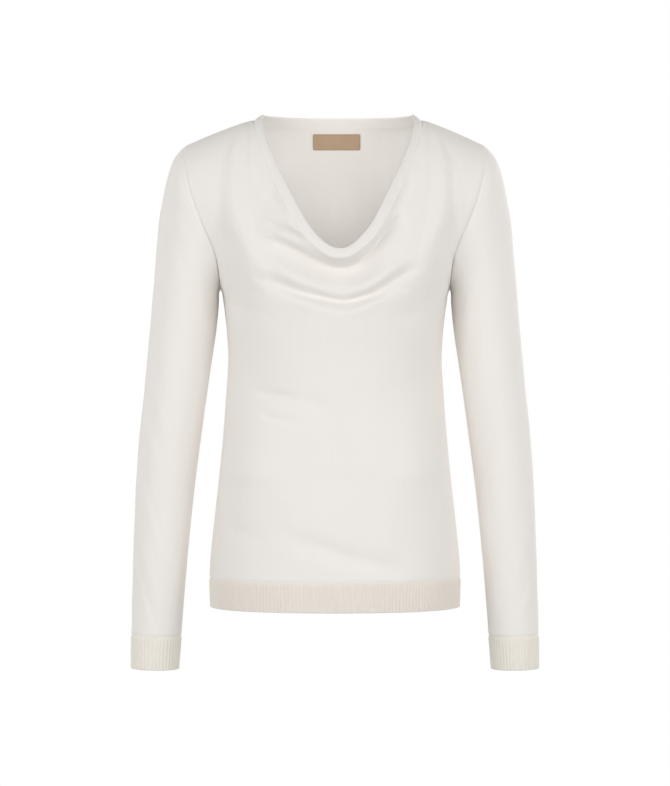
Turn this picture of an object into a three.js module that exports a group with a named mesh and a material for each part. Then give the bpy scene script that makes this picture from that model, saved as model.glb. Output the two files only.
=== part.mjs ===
// A long-sleeved sweater in fine knit with a draped front neck, filled out as it hangs on a wearer.
// Front panel, back panel, two sleeves, ribbed hem and cuffs, a neck band in two halves and a bare label.
// Millimetres, +Z up. The front faces -Y. The origin is midway between the two high points of the
// shoulders, where the wearer carries the garment. A "drop" is a distance down from that height.
import * as THREE from "three";

// Cloth
const WALL = 1.5; // thickness of the knit
const BAND_WALL = 2.2; // the neck band is folded double
const GAP = 0.3; // between pieces at a seam

// Hem, cuffs and ribs
const HEM_DROP = 590.5; // the lower edge of the hem
const HEM_RIB = 35; // height of the ribbed hem
const HEM_RIBS = 100; // raised ribs on each half of the hem
const CUFF_RIBS = 44; // raised ribs round one cuff
const RIB_RISE = 0.5; // how far a rib stands out of its wall
const RIBS_PER_FACET = 2; // the plain inside has one facet for this many ribs

// Armhole and underarm
const UNDERARM_DROP = 211;
const ARMHOLE_FRONT = 56; // how far the armhole reaches forward of the shoulder seam
const ARMHOLE_BACK = 58;

// Shoulder seam, from the neck band to the point of the shoulder
const SHOULDER = { neckHalf: 100, tipHalf: 181, neckDrop: 7.5, slope: 0.31, curve: 0.0011 };

// From here on, a share "across" is of the way from the middle of a panel to its side, and a share "up"
// is of the way from the underarm's row to the panel's top.
// The corner of a panel's top, where the neck meets the shoulder seam, is rounded off below the edge
const CORNER_ROUND = 0.3;
// Rows of a panel are closer together near the underarm
const ROW_CROWD = 1.35;
// The columns beside the neck fan out on their way down
const FAN = { half: 15, from: 0.2, full: 0.58, to: 1 };
// How boxy the body's sections are, over a plain ellipse
const BODY_BOX = 0.12;
// The rows of a panel sag this far at its middle, most under the drape, and little near its sides
const FRONT_SAG = 39;
const BACK_SAG = 14;
const SAG_POWER = 2.5;
// Fullness of the chest and the shoulder blades between the underarm and the top
const CHEST = { middle: 0, side: 56, power: 1.3 };
const BLADES = { middle: 12, side: 46, power: 1.2 };
// How the upper part of a panel passes from the shape of one border to the next
const BLEND = {
  slowerRows: { from: 0.37, to: 0.67 }, // across, where the front's rows close up towards the shoulder
  armholeRows: 5, // the powers with which the armhole's own rows, bend and depth take over, across
  armholeBend: 6,
  armholeDepth: 8,
  fullestLow: { power: 0.65, from: 0.5 }, // the chest is fullest low down as far out as this
  settled: { up: 0.4, across: 0.6 }, // the body's own curve carries on up to here, at the middle
};

// Numbers of strips in the walls
const NECK_STRIPS = 12; // from the middle of the neck to its side, at the front
const BACK_NECK_STRIPS = 5;
const SHOULDER_STRIPS = 6;
const UPPER_ROWS = 16;
const FRONT_LOWER_ROWS = 14;
const BACK_LOWER_ROWS = 11;
const SLEEVE_ROWS = 18;
const SLEEVE_STEPS = 2 * UPPER_ROWS; // round a sleeve, one for each row of the armhole, front and back
const SLEEVE_CROWD = 0.9; // a sleeve's rows are closer together near the cuff
const BAND_ROWS = 2;
const NECK_SHARE = 0.62; // the share of the panel's width that ends on the neck

// The body's sections, from the chest down to the hem: half its width, and its depth each way
const BODY = [
  { drop: 120, half: 146, front: 96, back: 97 },
  { drop: 170, half: 141, front: 104, back: 97 },
  { drop: 211, half: 136.9, front: 108, back: 94 },
  { drop: 215, half: 135.2, front: 108, back: 93.6 },
  { drop: 224, half: 133.9, front: 109, back: 92.5 },
  { drop: 236, half: 132.2, front: 109, back: 91 },
  { drop: 262, half: 129.4, front: 105, back: 87 },
  { drop: 296, half: 127.8, front: 99, back: 82 },
  { drop: 344, half: 130.8, front: 95, back: 84 },
  { drop: 392, half: 134.4, front: 96, back: 91 },
  { drop: 440, half: 139.2, front: 99, back: 101 },
  { drop: 488, half: 144.6, front: 102, back: 109 },
  { drop: 536, half: 149.4, front: 104, back: 112 },
  { drop: 562, half: 150, front: 104, back: 111 },
  { drop: 590.5, half: 149.2, front: 102, back: 109 },
];

// The armhole seam as it shows from the front
const ARMHOLE = [
  { drop: 39.83, half: 181 },
  { drop: 75, half: 176.4 },
  { drop: 97, half: 171 },
  { drop: 115, half: 164.6 },
  { drop: 136, half: 156.6 },
  { drop: 156, half: 147.5 },
  { drop: 172, half: 141.5 },
  { drop: 192, half: 138.2 },
  { drop: 211, half: 136.9 },
];

// The neck's edge and the seam of its band, from the middle up to the side of the neck
const NECK_FRONT = [
  { half: 0, drop: 165, out: 103, seamHalf: 0, seamDrop: 176.6, seamOut: 106 },
  { half: 10, drop: 162.8, out: 102.4, seamHalf: 12.5, seamDrop: 174, seamOut: 105.4 },
  { half: 23, drop: 152.5, out: 99.4, seamHalf: 28.5, seamDrop: 162, seamOut: 102 },
  { half: 37.8, drop: 134, out: 93.5, seamHalf: 46, seamDrop: 141, seamOut: 96 },
  { half: 55.8, drop: 100.5, out: 82, seamHalf: 65, seamDrop: 106, seamOut: 84 },
  { half: 72, drop: 67.5, out: 66.5, seamHalf: 80.5, seamDrop: 72, seamOut: 69 },
  { half: 85, drop: 36, out: 48, seamHalf: 93, seamDrop: 41, seamOut: 51 },
  { half: 91, drop: 11, out: 24, seamHalf: 99.5, seamDrop: 16.5, seamOut: 28 },
  { half: 90, drop: 0, out: 0, seamHalf: 100, seamDrop: 7.5, seamOut: 0 },
];
const NECK_BACK = [
  { half: 0, drop: 1, out: 47, seamHalf: 0, seamDrop: 12, seamOut: 54 },
  { half: 33, drop: 1, out: 44.5, seamHalf: 36, seamDrop: 12, seamOut: 51.5 },
  { half: 60, drop: 0.8, out: 37, seamHalf: 66, seamDrop: 11.6, seamOut: 43.5 },
  { half: 79, drop: 0.5, out: 24, seamHalf: 88, seamDrop: 10.4, seamOut: 29 },
  { half: 88, drop: 0.2, out: 11, seamHalf: 98, seamDrop: 8.6, seamOut: 13 },
  { half: 90, drop: 0, out: 0, seamHalf: 100, seamDrop: 7.5, seamOut: 0 },
];

// The sleeve's sections, from the armhole to the top of the cuff and the cuff's edge
const SLEEVE = [
  { outHalf: 181, outDrop: 39.83, inHalf: 136.9, inDrop: 211, front: 56, back: 58 },
  { outHalf: 192.5, outDrop: 53.5, inHalf: 139, inDrop: 213.5, front: 55, back: 57.5 },
  { outHalf: 200, outDrop: 74, inHalf: 139.4, inDrop: 217.5, front: 53.5, back: 56 },
  { outHalf: 206, outDrop: 102, inHalf: 139.3, inDrop: 222, front: 52, back: 54.5 },
  { outHalf: 210.8, outDrop: 130, inHalf: 139.4, inDrop: 228, front: 50.5, back: 52.5 },
  { outHalf: 215, outDrop: 177, inHalf: 140.7, inDrop: 244, front: 49, back: 50 },
  { outHalf: 219, outDrop: 224, inHalf: 143.4, inDrop: 267, front: 47.5, back: 48 },
  { outHalf: 223.5, outDrop: 277, inHalf: 148, inDrop: 298, front: 45.5, back: 46.5 },
  { outHalf: 229.4, outDrop: 340, inHalf: 155, inDrop: 347, front: 43, back: 45 },
  { outHalf: 235, outDrop: 392, inHalf: 161.6, inDrop: 396, front: 40.5, back: 42.5 },
  { outHalf: 238.6, outDrop: 446, inHalf: 168.4, inDrop: 449, front: 37.5, back: 39 },
  { outHalf: 241, outDrop: 508, inHalf: 174.8, inDrop: 510, front: 34, back: 35 },
  { outHalf: 243.3, outDrop: 568, inHalf: 180, inDrop: 569, front: 31, back: 31.5 },
  { outHalf: 245.4, outDrop: 624.5, inHalf: 184.4, inDrop: 625.5, front: 29, back: 29 },
  { outHalf: 246.2, outDrop: 664.5, inHalf: 187.4, inDrop: 665.5, front: 28, back: 28 },
];
const CUFF_TOP_ROW = SLEEVE.length - 2;
const ARMHOLE_FADE = 4; // by this row the sleeve has lost the armhole's sideways bend

// The lip of the drape: the neck edge stands forward of the cloth under it
const LIP = {
  rise: 9, width: 6, startDrop: 60, fullDrop: 160, edgeShare: 0.75,
  slant: { share: 0.47, from: 0.04, to: 0.3 },
};
// The neck and the drape have slipped a little to one side
const LEAN = { shift: 5.6, spread: 1.2, front: { full: 200, none: 300 }, back: { full: 45, none: 90 } };
// A fold sags below its own line by this share of its height, dies out towards its ends with this power,
// and is gone from this share of the panel's width to the side seam
const FOLD_SAG = 0.25;
const FOLD_FADE = 1.2;
const FOLD_REACH = 0.93;

// The drape's folds. Each lies along a hanging curve, lowest at "at" and "drop", with an arm each way
// that climbs by its rise over its reach. A positive height stands forward, a negative one is a crease.
const FRONT_FOLDS = [
  {
    name: "hollow under the lip", at: 0, drop: 187, height: -7, above: 7, below: 8,
    left: { reach: 86, rise: 33, bow: 1.3, ease: 1.6 }, right: { reach: 68, rise: 50, bow: 2, ease: 1.5 },
  },
  {
    name: "upper swag", at: 4, drop: 206, height: 5, above: 11, below: 11,
    left: { reach: 104, rise: 34, bow: 1.5, ease: 1.3 }, right: { reach: 84, rise: 46, bow: 1.9, ease: 1.4 },
  },
  {
    name: "crease under the upper swag", at: 6, drop: 224, height: -5.5, above: 5, below: 3.6,
    left: { reach: 104, rise: 37, bow: 1.8, ease: 1 }, right: { reach: 82, rise: 40, bow: 1.7, ease: 1.4 },
  },
  {
    name: "lower swag", at: 7, drop: 231.5, height: 3.6, above: 4, below: 10,
    left: { reach: 108, rise: 42, bow: 1.9, ease: 1 }, right: { reach: 88, rise: 44, bow: 1.7, ease: 1.4 },
  },
  {
    name: "short crease by the band", at: -48, drop: 151, height: -3, above: 3.5, below: 4,
    left: { reach: 34, rise: 19, bow: 1.1, ease: 1.5 }, right: { reach: 14, rise: 2, bow: 2, ease: 1 },
  },
  {
    name: "slack over the waist", at: -52, drop: 343, height: -1.6, above: 9, below: 8,
    left: { reach: 40, rise: 10, bow: 1.5, ease: 1 }, right: { reach: 46, rise: -7, bow: 1.5, ease: 1 },
  },
  {
    name: "slack over the hip", at: 20, drop: 518, height: -1.8, above: 12, below: 9,
    left: { reach: 90, rise: 16, bow: 1.2, ease: 1 }, right: { reach: 70, rise: -16, bow: 1.2, ease: 1 },
  },
];
const BACK_FOLDS = [
  {
    name: "slack at the small of the back", at: 0, drop: 292, height: -3, above: 13, below: 9,
    left: { reach: 92, rise: 22, bow: 1.8, ease: 1 }, right: { reach: 100, rise: 18, bow: 1.8, ease: 1 },
  },
  {
    name: "roll under it", at: 8, drop: 318, height: 2.2, above: 10, below: 15,
    left: { reach: 96, rise: 20, bow: 1.8, ease: 1 }, right: { reach: 88, rise: 24, bow: 1.8, ease: 1 },
  },
  {
    name: "pull from the left blade", at: -62, drop: 196, height: -2, above: 9, below: 12,
    left: { reach: 58, rise: -26, bow: 1.3, ease: 1 }, right: { reach: 40, rise: 12, bow: 1.5, ease: 1 },
  },
  {
    name: "pull from the right blade", at: 66, drop: 190, height: -2, above: 10, below: 11,
    left: { reach: 42, rise: 14, bow: 1.5, ease: 1 }, right: { reach: 56, rise: -28, bow: 1.3, ease: 1 },
  },
];

// The label inside the back of the neck
const LABEL = { at: 2, half: 29, topDrop: 18.4, bottomDrop: 37, wall: 1, away: 0.35 };

// Points closer than this are one point of a seam
const SAME_POINT = 0.02;
// Walls whose directions agree less than this, as in the crevice under the arm, keep some of their own
const CREVICE = 0.6;

const COLOURS = {
  knit: { color: 0xece8e3, roughness: 0.9, metalness: 0 },
  rib: { color: 0xe5ddd2, roughness: 0.92, metalness: 0 },
  label: { color: 0xbfa58a, roughness: 0.8, metalness: 0 },
};

// A step along a curve for finding its direction
const TINY = 0.002;

const lerp = (a, b, t) => a + (b - a) * t;
const quarter = Math.PI / 2;

// 0 before from, 1 after to, and smooth between them, whichever is larger.
function ease(from, to, x) {
  const t = Math.min(1, Math.max(0, (x - from) / (to - from)));
  return t * t * (3 - 2 * t);
}

// One column of a table where its key column has the value at, on a smooth curve through the rows.
function read(table, column, at, key = null) {
  const keyOf = (i) => (key ? table[i][key] : i);
  const last = table.length - 1;
  const x = Math.min(keyOf(last), Math.max(keyOf(0), at));
  let i = 0;
  while (i < last - 1 && keyOf(i + 1) < x) i += 1;
  const slope = (j) => {
    const a = Math.max(0, j - 1);
    const b = Math.min(last, j + 1);
    return (table[b][column] - table[a][column]) / (keyOf(b) - keyOf(a));
  };
  const span = keyOf(i + 1) - keyOf(i);
  const t = (x - keyOf(i)) / span;
  const fromStart = (2 * t - 3) * t * t + 1;
  const toEnd = (3 - 2 * t) * t * t;
  const startSlope = (t - 2) * t * t + t;
  const endSlope = (t - 1) * t * t;
  return (
    fromStart * table[i][column] + toEnd * table[i + 1][column] +
    span * (startSlope * slope(i) + endSlope * slope(i + 1))
  );
}

// How far a fold lifts the cloth at a place of the panel.
function foldLift(fold, x, drop) {
  const away = x - fold.at;
  const arm = away < 0 ? fold.left : fold.right;
  const t = Math.abs(away) / arm.reach;
  if (t >= 1) return 0;
  const climb = arm.rise * (1 - (1 - t ** arm.bow) ** arm.ease);
  const below = drop - (fold.drop - climb);
  const width = below > 0 ? fold.below : fold.above;
  return fold.height * (1 - t * t) ** FOLD_FADE * Math.exp(-((below / width) ** 2));
}

// How far the lip of the drape lifts the cloth, at a distance below the band's seam.
function lipLift(drop, belowSeam) {
  const share = belowSeam < 0 ? 1 : Math.exp(-((belowSeam / LIP.width) ** 2));
  return LIP.rise * share * ease(LIP.startDrop, LIP.fullDrop, drop);
}

function leanAt(side, u, drop) {
  const { full, none } = side.front ? LEAN.front : LEAN.back;
  return LEAN.shift * (1 - u * u) ** LEAN.spread * ease(none, full, drop);
}

// A point of the front or back from its sideways place, drop and depth, with the folds added.
function placed(side, u, x, drop, out, lip = 0) {
  const folds = side.front ? FRONT_FOLDS : BACK_FOLDS;
  const lift = lip + folds.reduce((sum, row) => sum + foldLift(row, x, drop), 0);
  const fold = lift * (1 - ease(FOLD_REACH, 1, Math.abs(u)));
  const facing = side.front ? -1 : 1;
  return new THREE.Vector3(x + leanAt(side, u, drop), facing * (out + fold), -(drop + FOLD_SAG * fold));
}

const FRONT = {
  front: true, column: "front", neck: NECK_FRONT, neckStrips: NECK_STRIPS,
  full: CHEST, sag: FRONT_SAG, armhole: ARMHOLE_FRONT,
};
const BACK = {
  front: false, column: "back", neck: NECK_BACK, neckStrips: BACK_NECK_STRIPS,
  full: BLADES, sag: BACK_SAG, armhole: ARMHOLE_BACK,
};

function shoulderSeam(share) {
  const half = lerp(SHOULDER.neckHalf, SHOULDER.tipHalf, share);
  const along = half - SHOULDER.neckHalf;
  return { half, drop: SHOULDER.neckDrop + SHOULDER.slope * along + SHOULDER.curve * along ** 2, out: 0 };
}
const SHOULDER_TIP = shoulderSeam(1);

// The top of a panel: the band's seam near the middle, and the shoulder seam beyond it.
function topEdge(side, u) {
  if (u > NECK_SHARE) return shoulderSeam((u - NECK_SHARE) / (1 - NECK_SHARE));
  const at = (u / NECK_SHARE) * (side.neck.length - 1);
  return {
    half: read(side.neck, "seamHalf", at),
    drop: read(side.neck, "seamDrop", at),
    out: read(side.neck, "seamOut", at),
  };
}

// The body without its drape, at a share u of the way from the middle to the side seam.
function bodyAt(side, u, drop) {
  const turn = u * quarter;
  return {
    half: read(BODY, "half", drop, "drop") * Math.sin(turn),
    out: read(BODY, side.column, drop, "drop") * Math.cos(turn) * (1 + BODY_BOX * Math.sin(turn) ** 2),
  };
}

const underarmRow = (side, u) => UNDERARM_DROP + side.sag * (1 - u ** SAG_POWER);

// The lip's width is measured square to the neck's edge, which is steeper towards the side of the neck.
const lipSlant = (u) => lerp(1, LIP.slant.share, ease(LIP.slant.from, LIP.slant.to, u));

// Below the underarm: t runs from the hem's seam up to the underarm.
function lowerPoint(side, u, t) {
  const drop = lerp(HEM_DROP - HEM_RIB, underarmRow(side, Math.abs(u)), 1 - (1 - t) ** ROW_CROWD);
  const at = bodyAt(side, Math.abs(u), drop);
  return placed(side, u, Math.sign(u) * at.half, drop, at.out);
}

// The top edge below itself: its corner is rounded off more and more, down to the underarm.
function roundedTop(side, a, t) {
  const reach = Math.min(CORNER_ROUND * (1 - t), 1 - a);
  const sum = { half: 0, drop: 0, out: 0 };
  const steps = [-1, -0.6, -0.2, 0.2, 0.6, 1];
  for (const step of steps) {
    const at = a + step * reach;
    const top = topEdge(side, Math.abs(at));
    sum.half += (top.half * Math.sign(at)) / steps.length;
    sum.drop += top.drop / steps.length;
    sum.out += top.out / steps.length;
  }
  return sum;
}

// Above the underarm: t runs from the underarm up to the neck or the shoulder. The patch lies between the
// underarm row, the neck and shoulder edge, and the armhole, and swells forward or back between them.
function upperPoint(side, u, t) {
  const a = Math.abs(u);
  const base = underarmRow(side, a);
  const top = roundedTop(side, a, t);
  const atArmhole = (1 - Math.cos(Math.PI * t)) / 2;
  const slower = side.front ? ease(BLEND.slowerRows.from, BLEND.slowerRows.to, a) : 1;
  const pace = lerp(lerp(t, Math.sin(t * quarter), slower), atArmhole, a ** BLEND.armholeRows);
  const drop = lerp(base, top.drop, pace);
  const start = bodyAt(side, a, base);
  const edgeDrop = lerp(UNDERARM_DROP, SHOULDER_TIP.drop, atArmhole);
  const straightEdge = lerp(ARMHOLE[ARMHOLE.length - 1].half, SHOULDER_TIP.half, t);
  const fan = FAN.half * Math.sin(Math.PI * t) * ease(FAN.from, FAN.full, a) * ease(FAN.to, FAN.full, a);
  const bend = (read(ARMHOLE, "half", edgeDrop, "drop") - straightEdge) * a ** BLEND.armholeBend;
  const half = lerp(start.half, top.half, t) + fan + bend;
  const bulge = side.full.middle + side.full.side * a ** side.full.power;
  const full = lerp(bulge, side.armhole, a ** BLEND.armholeDepth);
  const low = lerp(BLEND.fullestLow.power, 1, ease(BLEND.fullestLow.from, 1, a));
  const swell = full * Math.sin(Math.PI * t ** low);
  const settle = lerp(ease(0, BLEND.settled.up, t), 1, ease(BLEND.settled.across, 1, a));
  const out = lerp(bodyAt(side, a, drop).out, lerp(start.out, top.out, t) + swell, settle);
  const lip = side.front && a < NECK_SHARE ? lipLift(top.drop, (drop - top.drop) * lipSlant(a)) : 0;
  return placed(side, u, Math.sign(u) * half, drop, out, lip);
}

// The neck band: t runs from its seam with the panel up to its free edge.
function bandPoint(side, u, t) {
  const at = (Math.abs(u) / NECK_SHARE) * (side.neck.length - 1);
  const seamDrop = read(side.neck, "seamDrop", at);
  const value = (seam, edge) => lerp(read(side.neck, seam, at), read(side.neck, edge, at), t);
  const lip = side.front ? lipLift(seamDrop, 0) * lerp(1, LIP.edgeShare, t) : 0;
  const across = Math.sign(u) * value("seamHalf", "half");
  return placed(side, u, across, value("seamDrop", "drop"), value("seamOut", "out"), lip);
}

// A sleeve's ring at a row of its table: turn 0 is the outer arm, and a half turn later the inner arm.
function sleeveRingPoint(row, turn) {
  const value = (column) => read(SLEEVE, column, row);
  const across = Math.cos(turn);
  const depth = Math.sin(turn) > 0 ? value("front") : value("back");
  const half = lerp(value("inHalf"), value("outHalf"), (1 + across) / 2);
  const drop = lerp(value("inDrop"), value("outDrop"), (1 + across) / 2);
  return new THREE.Vector3(half, -depth * Math.sin(turn), -drop);
}

// The sleeve's first ring is the armhole seam itself; the rings after it lose its sideways bend bit by bit.
function sleevePoint(row, step) {
  const turn = (step / SLEEVE_STEPS) * 2 * Math.PI;
  const point = sleeveRingPoint(row, turn);
  const seamDrop = -sleeveRingPoint(0, turn).z;
  const bend = read(ARMHOLE, "half", seamDrop, "drop") - sleeveRingPoint(0, turn).x;
  point.x += bend * (1 - ease(0, ARMHOLE_FADE, row));
  return point;
}

// A grid of points: rows run along the wall, and each row holds the points across it.
function grid(rows, columns, pointAt) {
  const rowOf = (r) => Array.from({ length: columns + 1 }, (_, c) => pointAt(r, c));
  return Array.from({ length: rows + 1 }, (_, r) => rowOf(r));
}

// A column's share of a panel's width, from its number counted from the middle.
function columnShare(side, number) {
  const n = Math.abs(number);
  const share =
    n <= side.neckStrips
      ? (NECK_SHARE * n) / side.neckStrips
      : lerp(NECK_SHARE, 1, (n - side.neckStrips) / SHOULDER_STRIPS);
  return Math.sign(number) * share;
}

function panelGrid(side, lowerRows) {
  const half = side.neckStrips + SHOULDER_STRIPS;
  // The front's columns run to +X and the back's to -X, so that both walls face out.
  const direction = side.front ? 1 : -1;
  return grid(lowerRows + UPPER_ROWS, 2 * half, (r, c) => {
    const u = direction * columnShare(side, c - half);
    if (r < lowerRows) return lowerPoint(side, u, r / lowerRows);
    return upperPoint(side, u, (r - lowerRows) / UPPER_ROWS);
  });
}

function bandGrid(side) {
  const direction = side.front ? 1 : -1;
  return grid(BAND_ROWS, 2 * side.neckStrips, (r, c) =>
    bandPoint(side, direction * columnShare(side, c - side.neckStrips), r / BAND_ROWS),
  );
}

function sleeveGrid(mirror) {
  return grid(SLEEVE_ROWS, SLEEVE_STEPS, (r, c) => {
    const row = CUFF_TOP_ROW * (r / SLEEVE_ROWS) ** SLEEVE_CROWD;
    const point = sleevePoint(row, (mirror ? SLEEVE_STEPS - c : c) % SLEEVE_STEPS);
    if (mirror) point.x *= -1;
    return point;
  });
}

// Outward normals of a grid. A round grid's first and last columns are the same points.
function normalsOf(points, round) {
  const lastRow = points.length - 1;
  const lastColumn = points[0].length - 1;
  return points.map((row, r) =>
    row.map((_, c) => {
      const before = round && c === 0 ? lastColumn - 1 : Math.max(0, c - 1);
      const after = round && c === lastColumn ? 1 : Math.min(lastColumn, c + 1);
      const across = points[r][after].clone().sub(points[r][before]);
      const along = points[Math.min(lastRow, r + 1)][c].clone().sub(points[Math.max(0, r - 1)][c]);
      return across.cross(along).normalize();
    }),
  );
}

// Where pieces meet, their walls are cut off along one shared direction, so that no wall runs into the next.
function shareSeams(pieces) {
  const seams = [];
  for (const piece of pieces) {
    piece.points.forEach((row, r) =>
      row.forEach((point, c) => {
        const onSide = !piece.round && (c === 0 || c === row.length - 1);
        if (!onSide && r > 0 && r < piece.points.length - 1) return;
        let seam = seams.find((other) => other.point.distanceTo(point) < SAME_POINT);
        if (!seam) seams.push((seam = { point, parts: {}, members: [] }));
        const part = (seam.parts[piece.part] ??= new THREE.Vector3());
        part.add(piece.normals[r][c]);
        seam.members.push(piece.normals[r][c]);
      }),
    );
  }
  for (const seam of seams) {
    const sum = new THREE.Vector3();
    for (const part of Object.values(seam.parts)) sum.add(part.normalize());
    sum.normalize();
    for (const normal of seam.members) normal.lerp(sum, ease(0, CREVICE, normal.dot(sum))).normalize();
  }
}

// Keeps a row's normals in the plane in which the piece is cut off, so that a rib can meet it flat.
function flattenRow(normals, row, direction) {
  for (const normal of normals[row]) normal.addScaledVector(direction, -normal.dot(direction)).normalize();
}

// Draws a piece's edge back by half the seam's gap, square to the edge and along the piece's own surface.
function drawnBack(points, normals, round) {
  const lastRow = points.length - 1;
  const lastColumn = points[0].length - 1;
  const inward = (r, c, edge, to) => {
    const way = new THREE.Vector3().crossVectors(normals[r][c], edge[1].clone().sub(edge[0])).normalize();
    const within = to.clone().sub(points[r][c]).dot(way);
    return way.multiplyScalar(((within < 0 ? -1 : 1) * GAP) / 2);
  };
  return points.map((row, r) =>
    row.map((point, c) => {
      const moved = point.clone();
      const before = round && c === 0 ? lastColumn - 1 : Math.max(0, c - 1);
      const after = round && c === lastColumn ? 1 : Math.min(lastColumn, c + 1);
      const rowEdge = [row[before], row[after]];
      const columnEdge = [points[Math.max(0, r - 1)][c], points[Math.min(lastRow, r + 1)][c]];
      if (r === 0) moved.add(inward(r, c, rowEdge, points[1][c]));
      if (r === lastRow) moved.add(inward(r, c, rowEdge, points[lastRow - 1][c]));
      if (!round && c === 0) moved.add(inward(r, c, columnEdge, row[1]));
      if (!round && c === lastColumn) moved.add(inward(r, c, columnEdge, row[lastColumn - 1]));
      return moved;
    }),
  );
}

const pushed = (points, normals, distance) =>
  points.map((row, r) => row.map((point, c) => point.clone().addScaledVector(normals[r][c], distance)));

// A closed wall between an outer and an inner grid of the same size.
function wallGeometry(outer, inner, round) {
  const rows = outer.length;
  const columns = outer[0].length;
  const positions = [];
  for (const p of [...outer.flat(), ...inner.flat()]) positions.push(p.x, p.y, p.z);
  const index = [];
  const at = (layer, r, c) => (layer * rows + r) * columns + (round && c === columns - 1 ? 0 : c);
  const quad = (a, b, c, d) => index.push(a, b, c, a, c, d);
  // The quads of one half are cut along the other diagonal, so that both halves of the garment match.
  for (let r = 0; r < rows - 1; r += 1)
    for (let c = 0; c < columns - 1; c += 1)
      for (const layer of [0, 1]) {
        const corners = [at(layer, r, c), at(layer, r, c + 1), at(layer, r + 1, c + 1), at(layer, r + 1, c)];
        if (c >= (columns - 1) / 2) corners.push(corners.shift());
        if (layer) corners.reverse();
        quad(...corners);
      }
  for (let c = 0; c < columns - 1; c += 1) {
    quad(at(0, 0, c), at(1, 0, c), at(1, 0, c + 1), at(0, 0, c + 1));
    quad(at(0, rows - 1, c), at(0, rows - 1, c + 1), at(1, rows - 1, c + 1), at(1, rows - 1, c));
  }
  if (!round)
    for (let r = 0; r < rows - 1; r += 1) {
      quad(at(0, r, 0), at(0, r + 1, 0), at(1, r + 1, 0), at(1, r, 0));
      const c = columns - 1;
      quad(at(0, r, c), at(1, r, c), at(1, r + 1, c), at(0, r + 1, c));
    }
  return new THREE.BufferGeometry()
    .setAttribute("position", new THREE.Float32BufferAttribute(positions, 3))
    .setIndex(index);
}

// A ribbed wall: ribs stand out of its outer points, and its inside is plain, with fewer facets.
// edgeAt(share, level, outwards) gives a point of the wall at a share of the way round, on its lower
// edge at level 0 or its upper edge at level 1.
function ribbedGeometry(ribs, round, edgeAt) {
  const fine = 2 * RIBS_PER_FACET;
  const facets = ribs / RIBS_PER_FACET;
  const outerCount = 2 * ribs;
  const positions = [];
  // Adds a point and gives its number.
  const push = (p) => positions.push(p.x, p.y, p.z) / 3 - 1;
  const rings = [0, 1].map((level) => ({
    outer: Array.from({ length: outerCount + 1 }, (_, i) => {
      if (round && i === outerCount) return null;
      return push(edgeAt(i / outerCount, level, i % 2 ? RIB_RISE : 0));
    }),
    inner: Array.from({ length: facets + 1 }, (_, i) => {
      if (round && i === facets) return null;
      return push(edgeAt(i / facets, level, -WALL));
    }),
  }));
  if (round)
    for (const ring of rings) {
      ring.outer[outerCount] = ring.outer[0];
      ring.inner[facets] = ring.inner[0];
    }
  const index = [];
  const [low, high] = rings;
  const triangle = (a, b, c, turned) => index.push(a, turned ? c : b, turned ? b : c);
  for (let i = 0; i < outerCount; i += 1) {
    triangle(low.outer[i], low.outer[i + 1], high.outer[i + 1]);
    triangle(low.outer[i], high.outer[i + 1], high.outer[i]);
  }
  for (let f = 0; f < facets; f += 1) {
    triangle(low.inner[f], high.inner[f + 1], low.inner[f + 1]);
    triangle(low.inner[f], high.inner[f], high.inner[f + 1]);
    for (const [ring, turned] of [[low, false], [high, true]]) {
      for (let k = 0; k < fine; k += 1) {
        const i = f * fine + k;
        triangle(ring.outer[i], ring.inner[k < fine / 2 ? f : f + 1], ring.outer[i + 1], turned);
      }
      triangle(ring.outer[f * fine + fine / 2], ring.inner[f], ring.inner[f + 1], turned);
    }
  }
  if (!round)
    for (const [i, f, turned] of [[0, 0, false], [outerCount, facets, true]]) {
      triangle(low.outer[i], high.outer[i], high.inner[f], turned);
      triangle(low.outer[i], high.inner[f], low.inner[f], turned);
    }
  return new THREE.BufferGeometry()
    .setAttribute("position", new THREE.Float32BufferAttribute(positions, 3))
    .setIndex(index);
}

// One half of the ribbed hem, from side seam to side seam.
function hemGeometry(side) {
  const direction = side.front ? 1 : -1;
  const sideGap = GAP / 2 / Math.max(...BODY.map((row) => row[side.column]));
  return ribbedGeometry(HEM_RIBS, false, (share, level, outwards) => {
    const u = direction * lerp(-1 + sideGap, 1 - sideGap, share);
    const drop = level ? HEM_DROP - HEM_RIB + GAP / 2 : HEM_DROP;
    const at = (v) => {
      const body = bodyAt(side, Math.abs(v), drop);
      return new THREE.Vector3(Math.sign(v) * body.half, (side.front ? -1 : 1) * body.out, -drop);
    };
    const before = at(Math.max(-1, u - direction * TINY));
    const after = at(Math.min(1, u + direction * TINY));
    const along = after.sub(before);
    const out = new THREE.Vector3(along.y, -along.x, 0).normalize();
    return at(u).addScaledVector(out, outwards);
  });
}

// The direction down the arm at the cuff.
const cuffAxis = (() => {
  const middle = (row) => sleeveRingPoint(row, 0).add(sleeveRingPoint(row, Math.PI)).multiplyScalar(0.5);
  return middle(SLEEVE.length - 1).sub(middle(CUFF_TOP_ROW)).normalize();
})();

function cuffGeometry(mirror) {
  return ribbedGeometry(CUFF_RIBS, true, (share, level, outwards) => {
    // Level 0 is the wrist's edge. Turned the other way, so that the wall faces out.
    const turn = (mirror ? 1 : -1) * share * 2 * Math.PI;
    const row = level ? CUFF_TOP_ROW : SLEEVE.length - 1;
    const point = sleeveRingPoint(row, turn);
    const ahead = sleeveRingPoint(row, turn + TINY).sub(sleeveRingPoint(row, turn - TINY));
    const out = new THREE.Vector3().crossVectors(ahead, cuffAxis).normalize();
    if (level) point.addScaledVector(cuffAxis, GAP / 2);
    point.addScaledVector(out, outwards);
    if (mirror) point.x *= -1;
    return point;
  });
}

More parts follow.
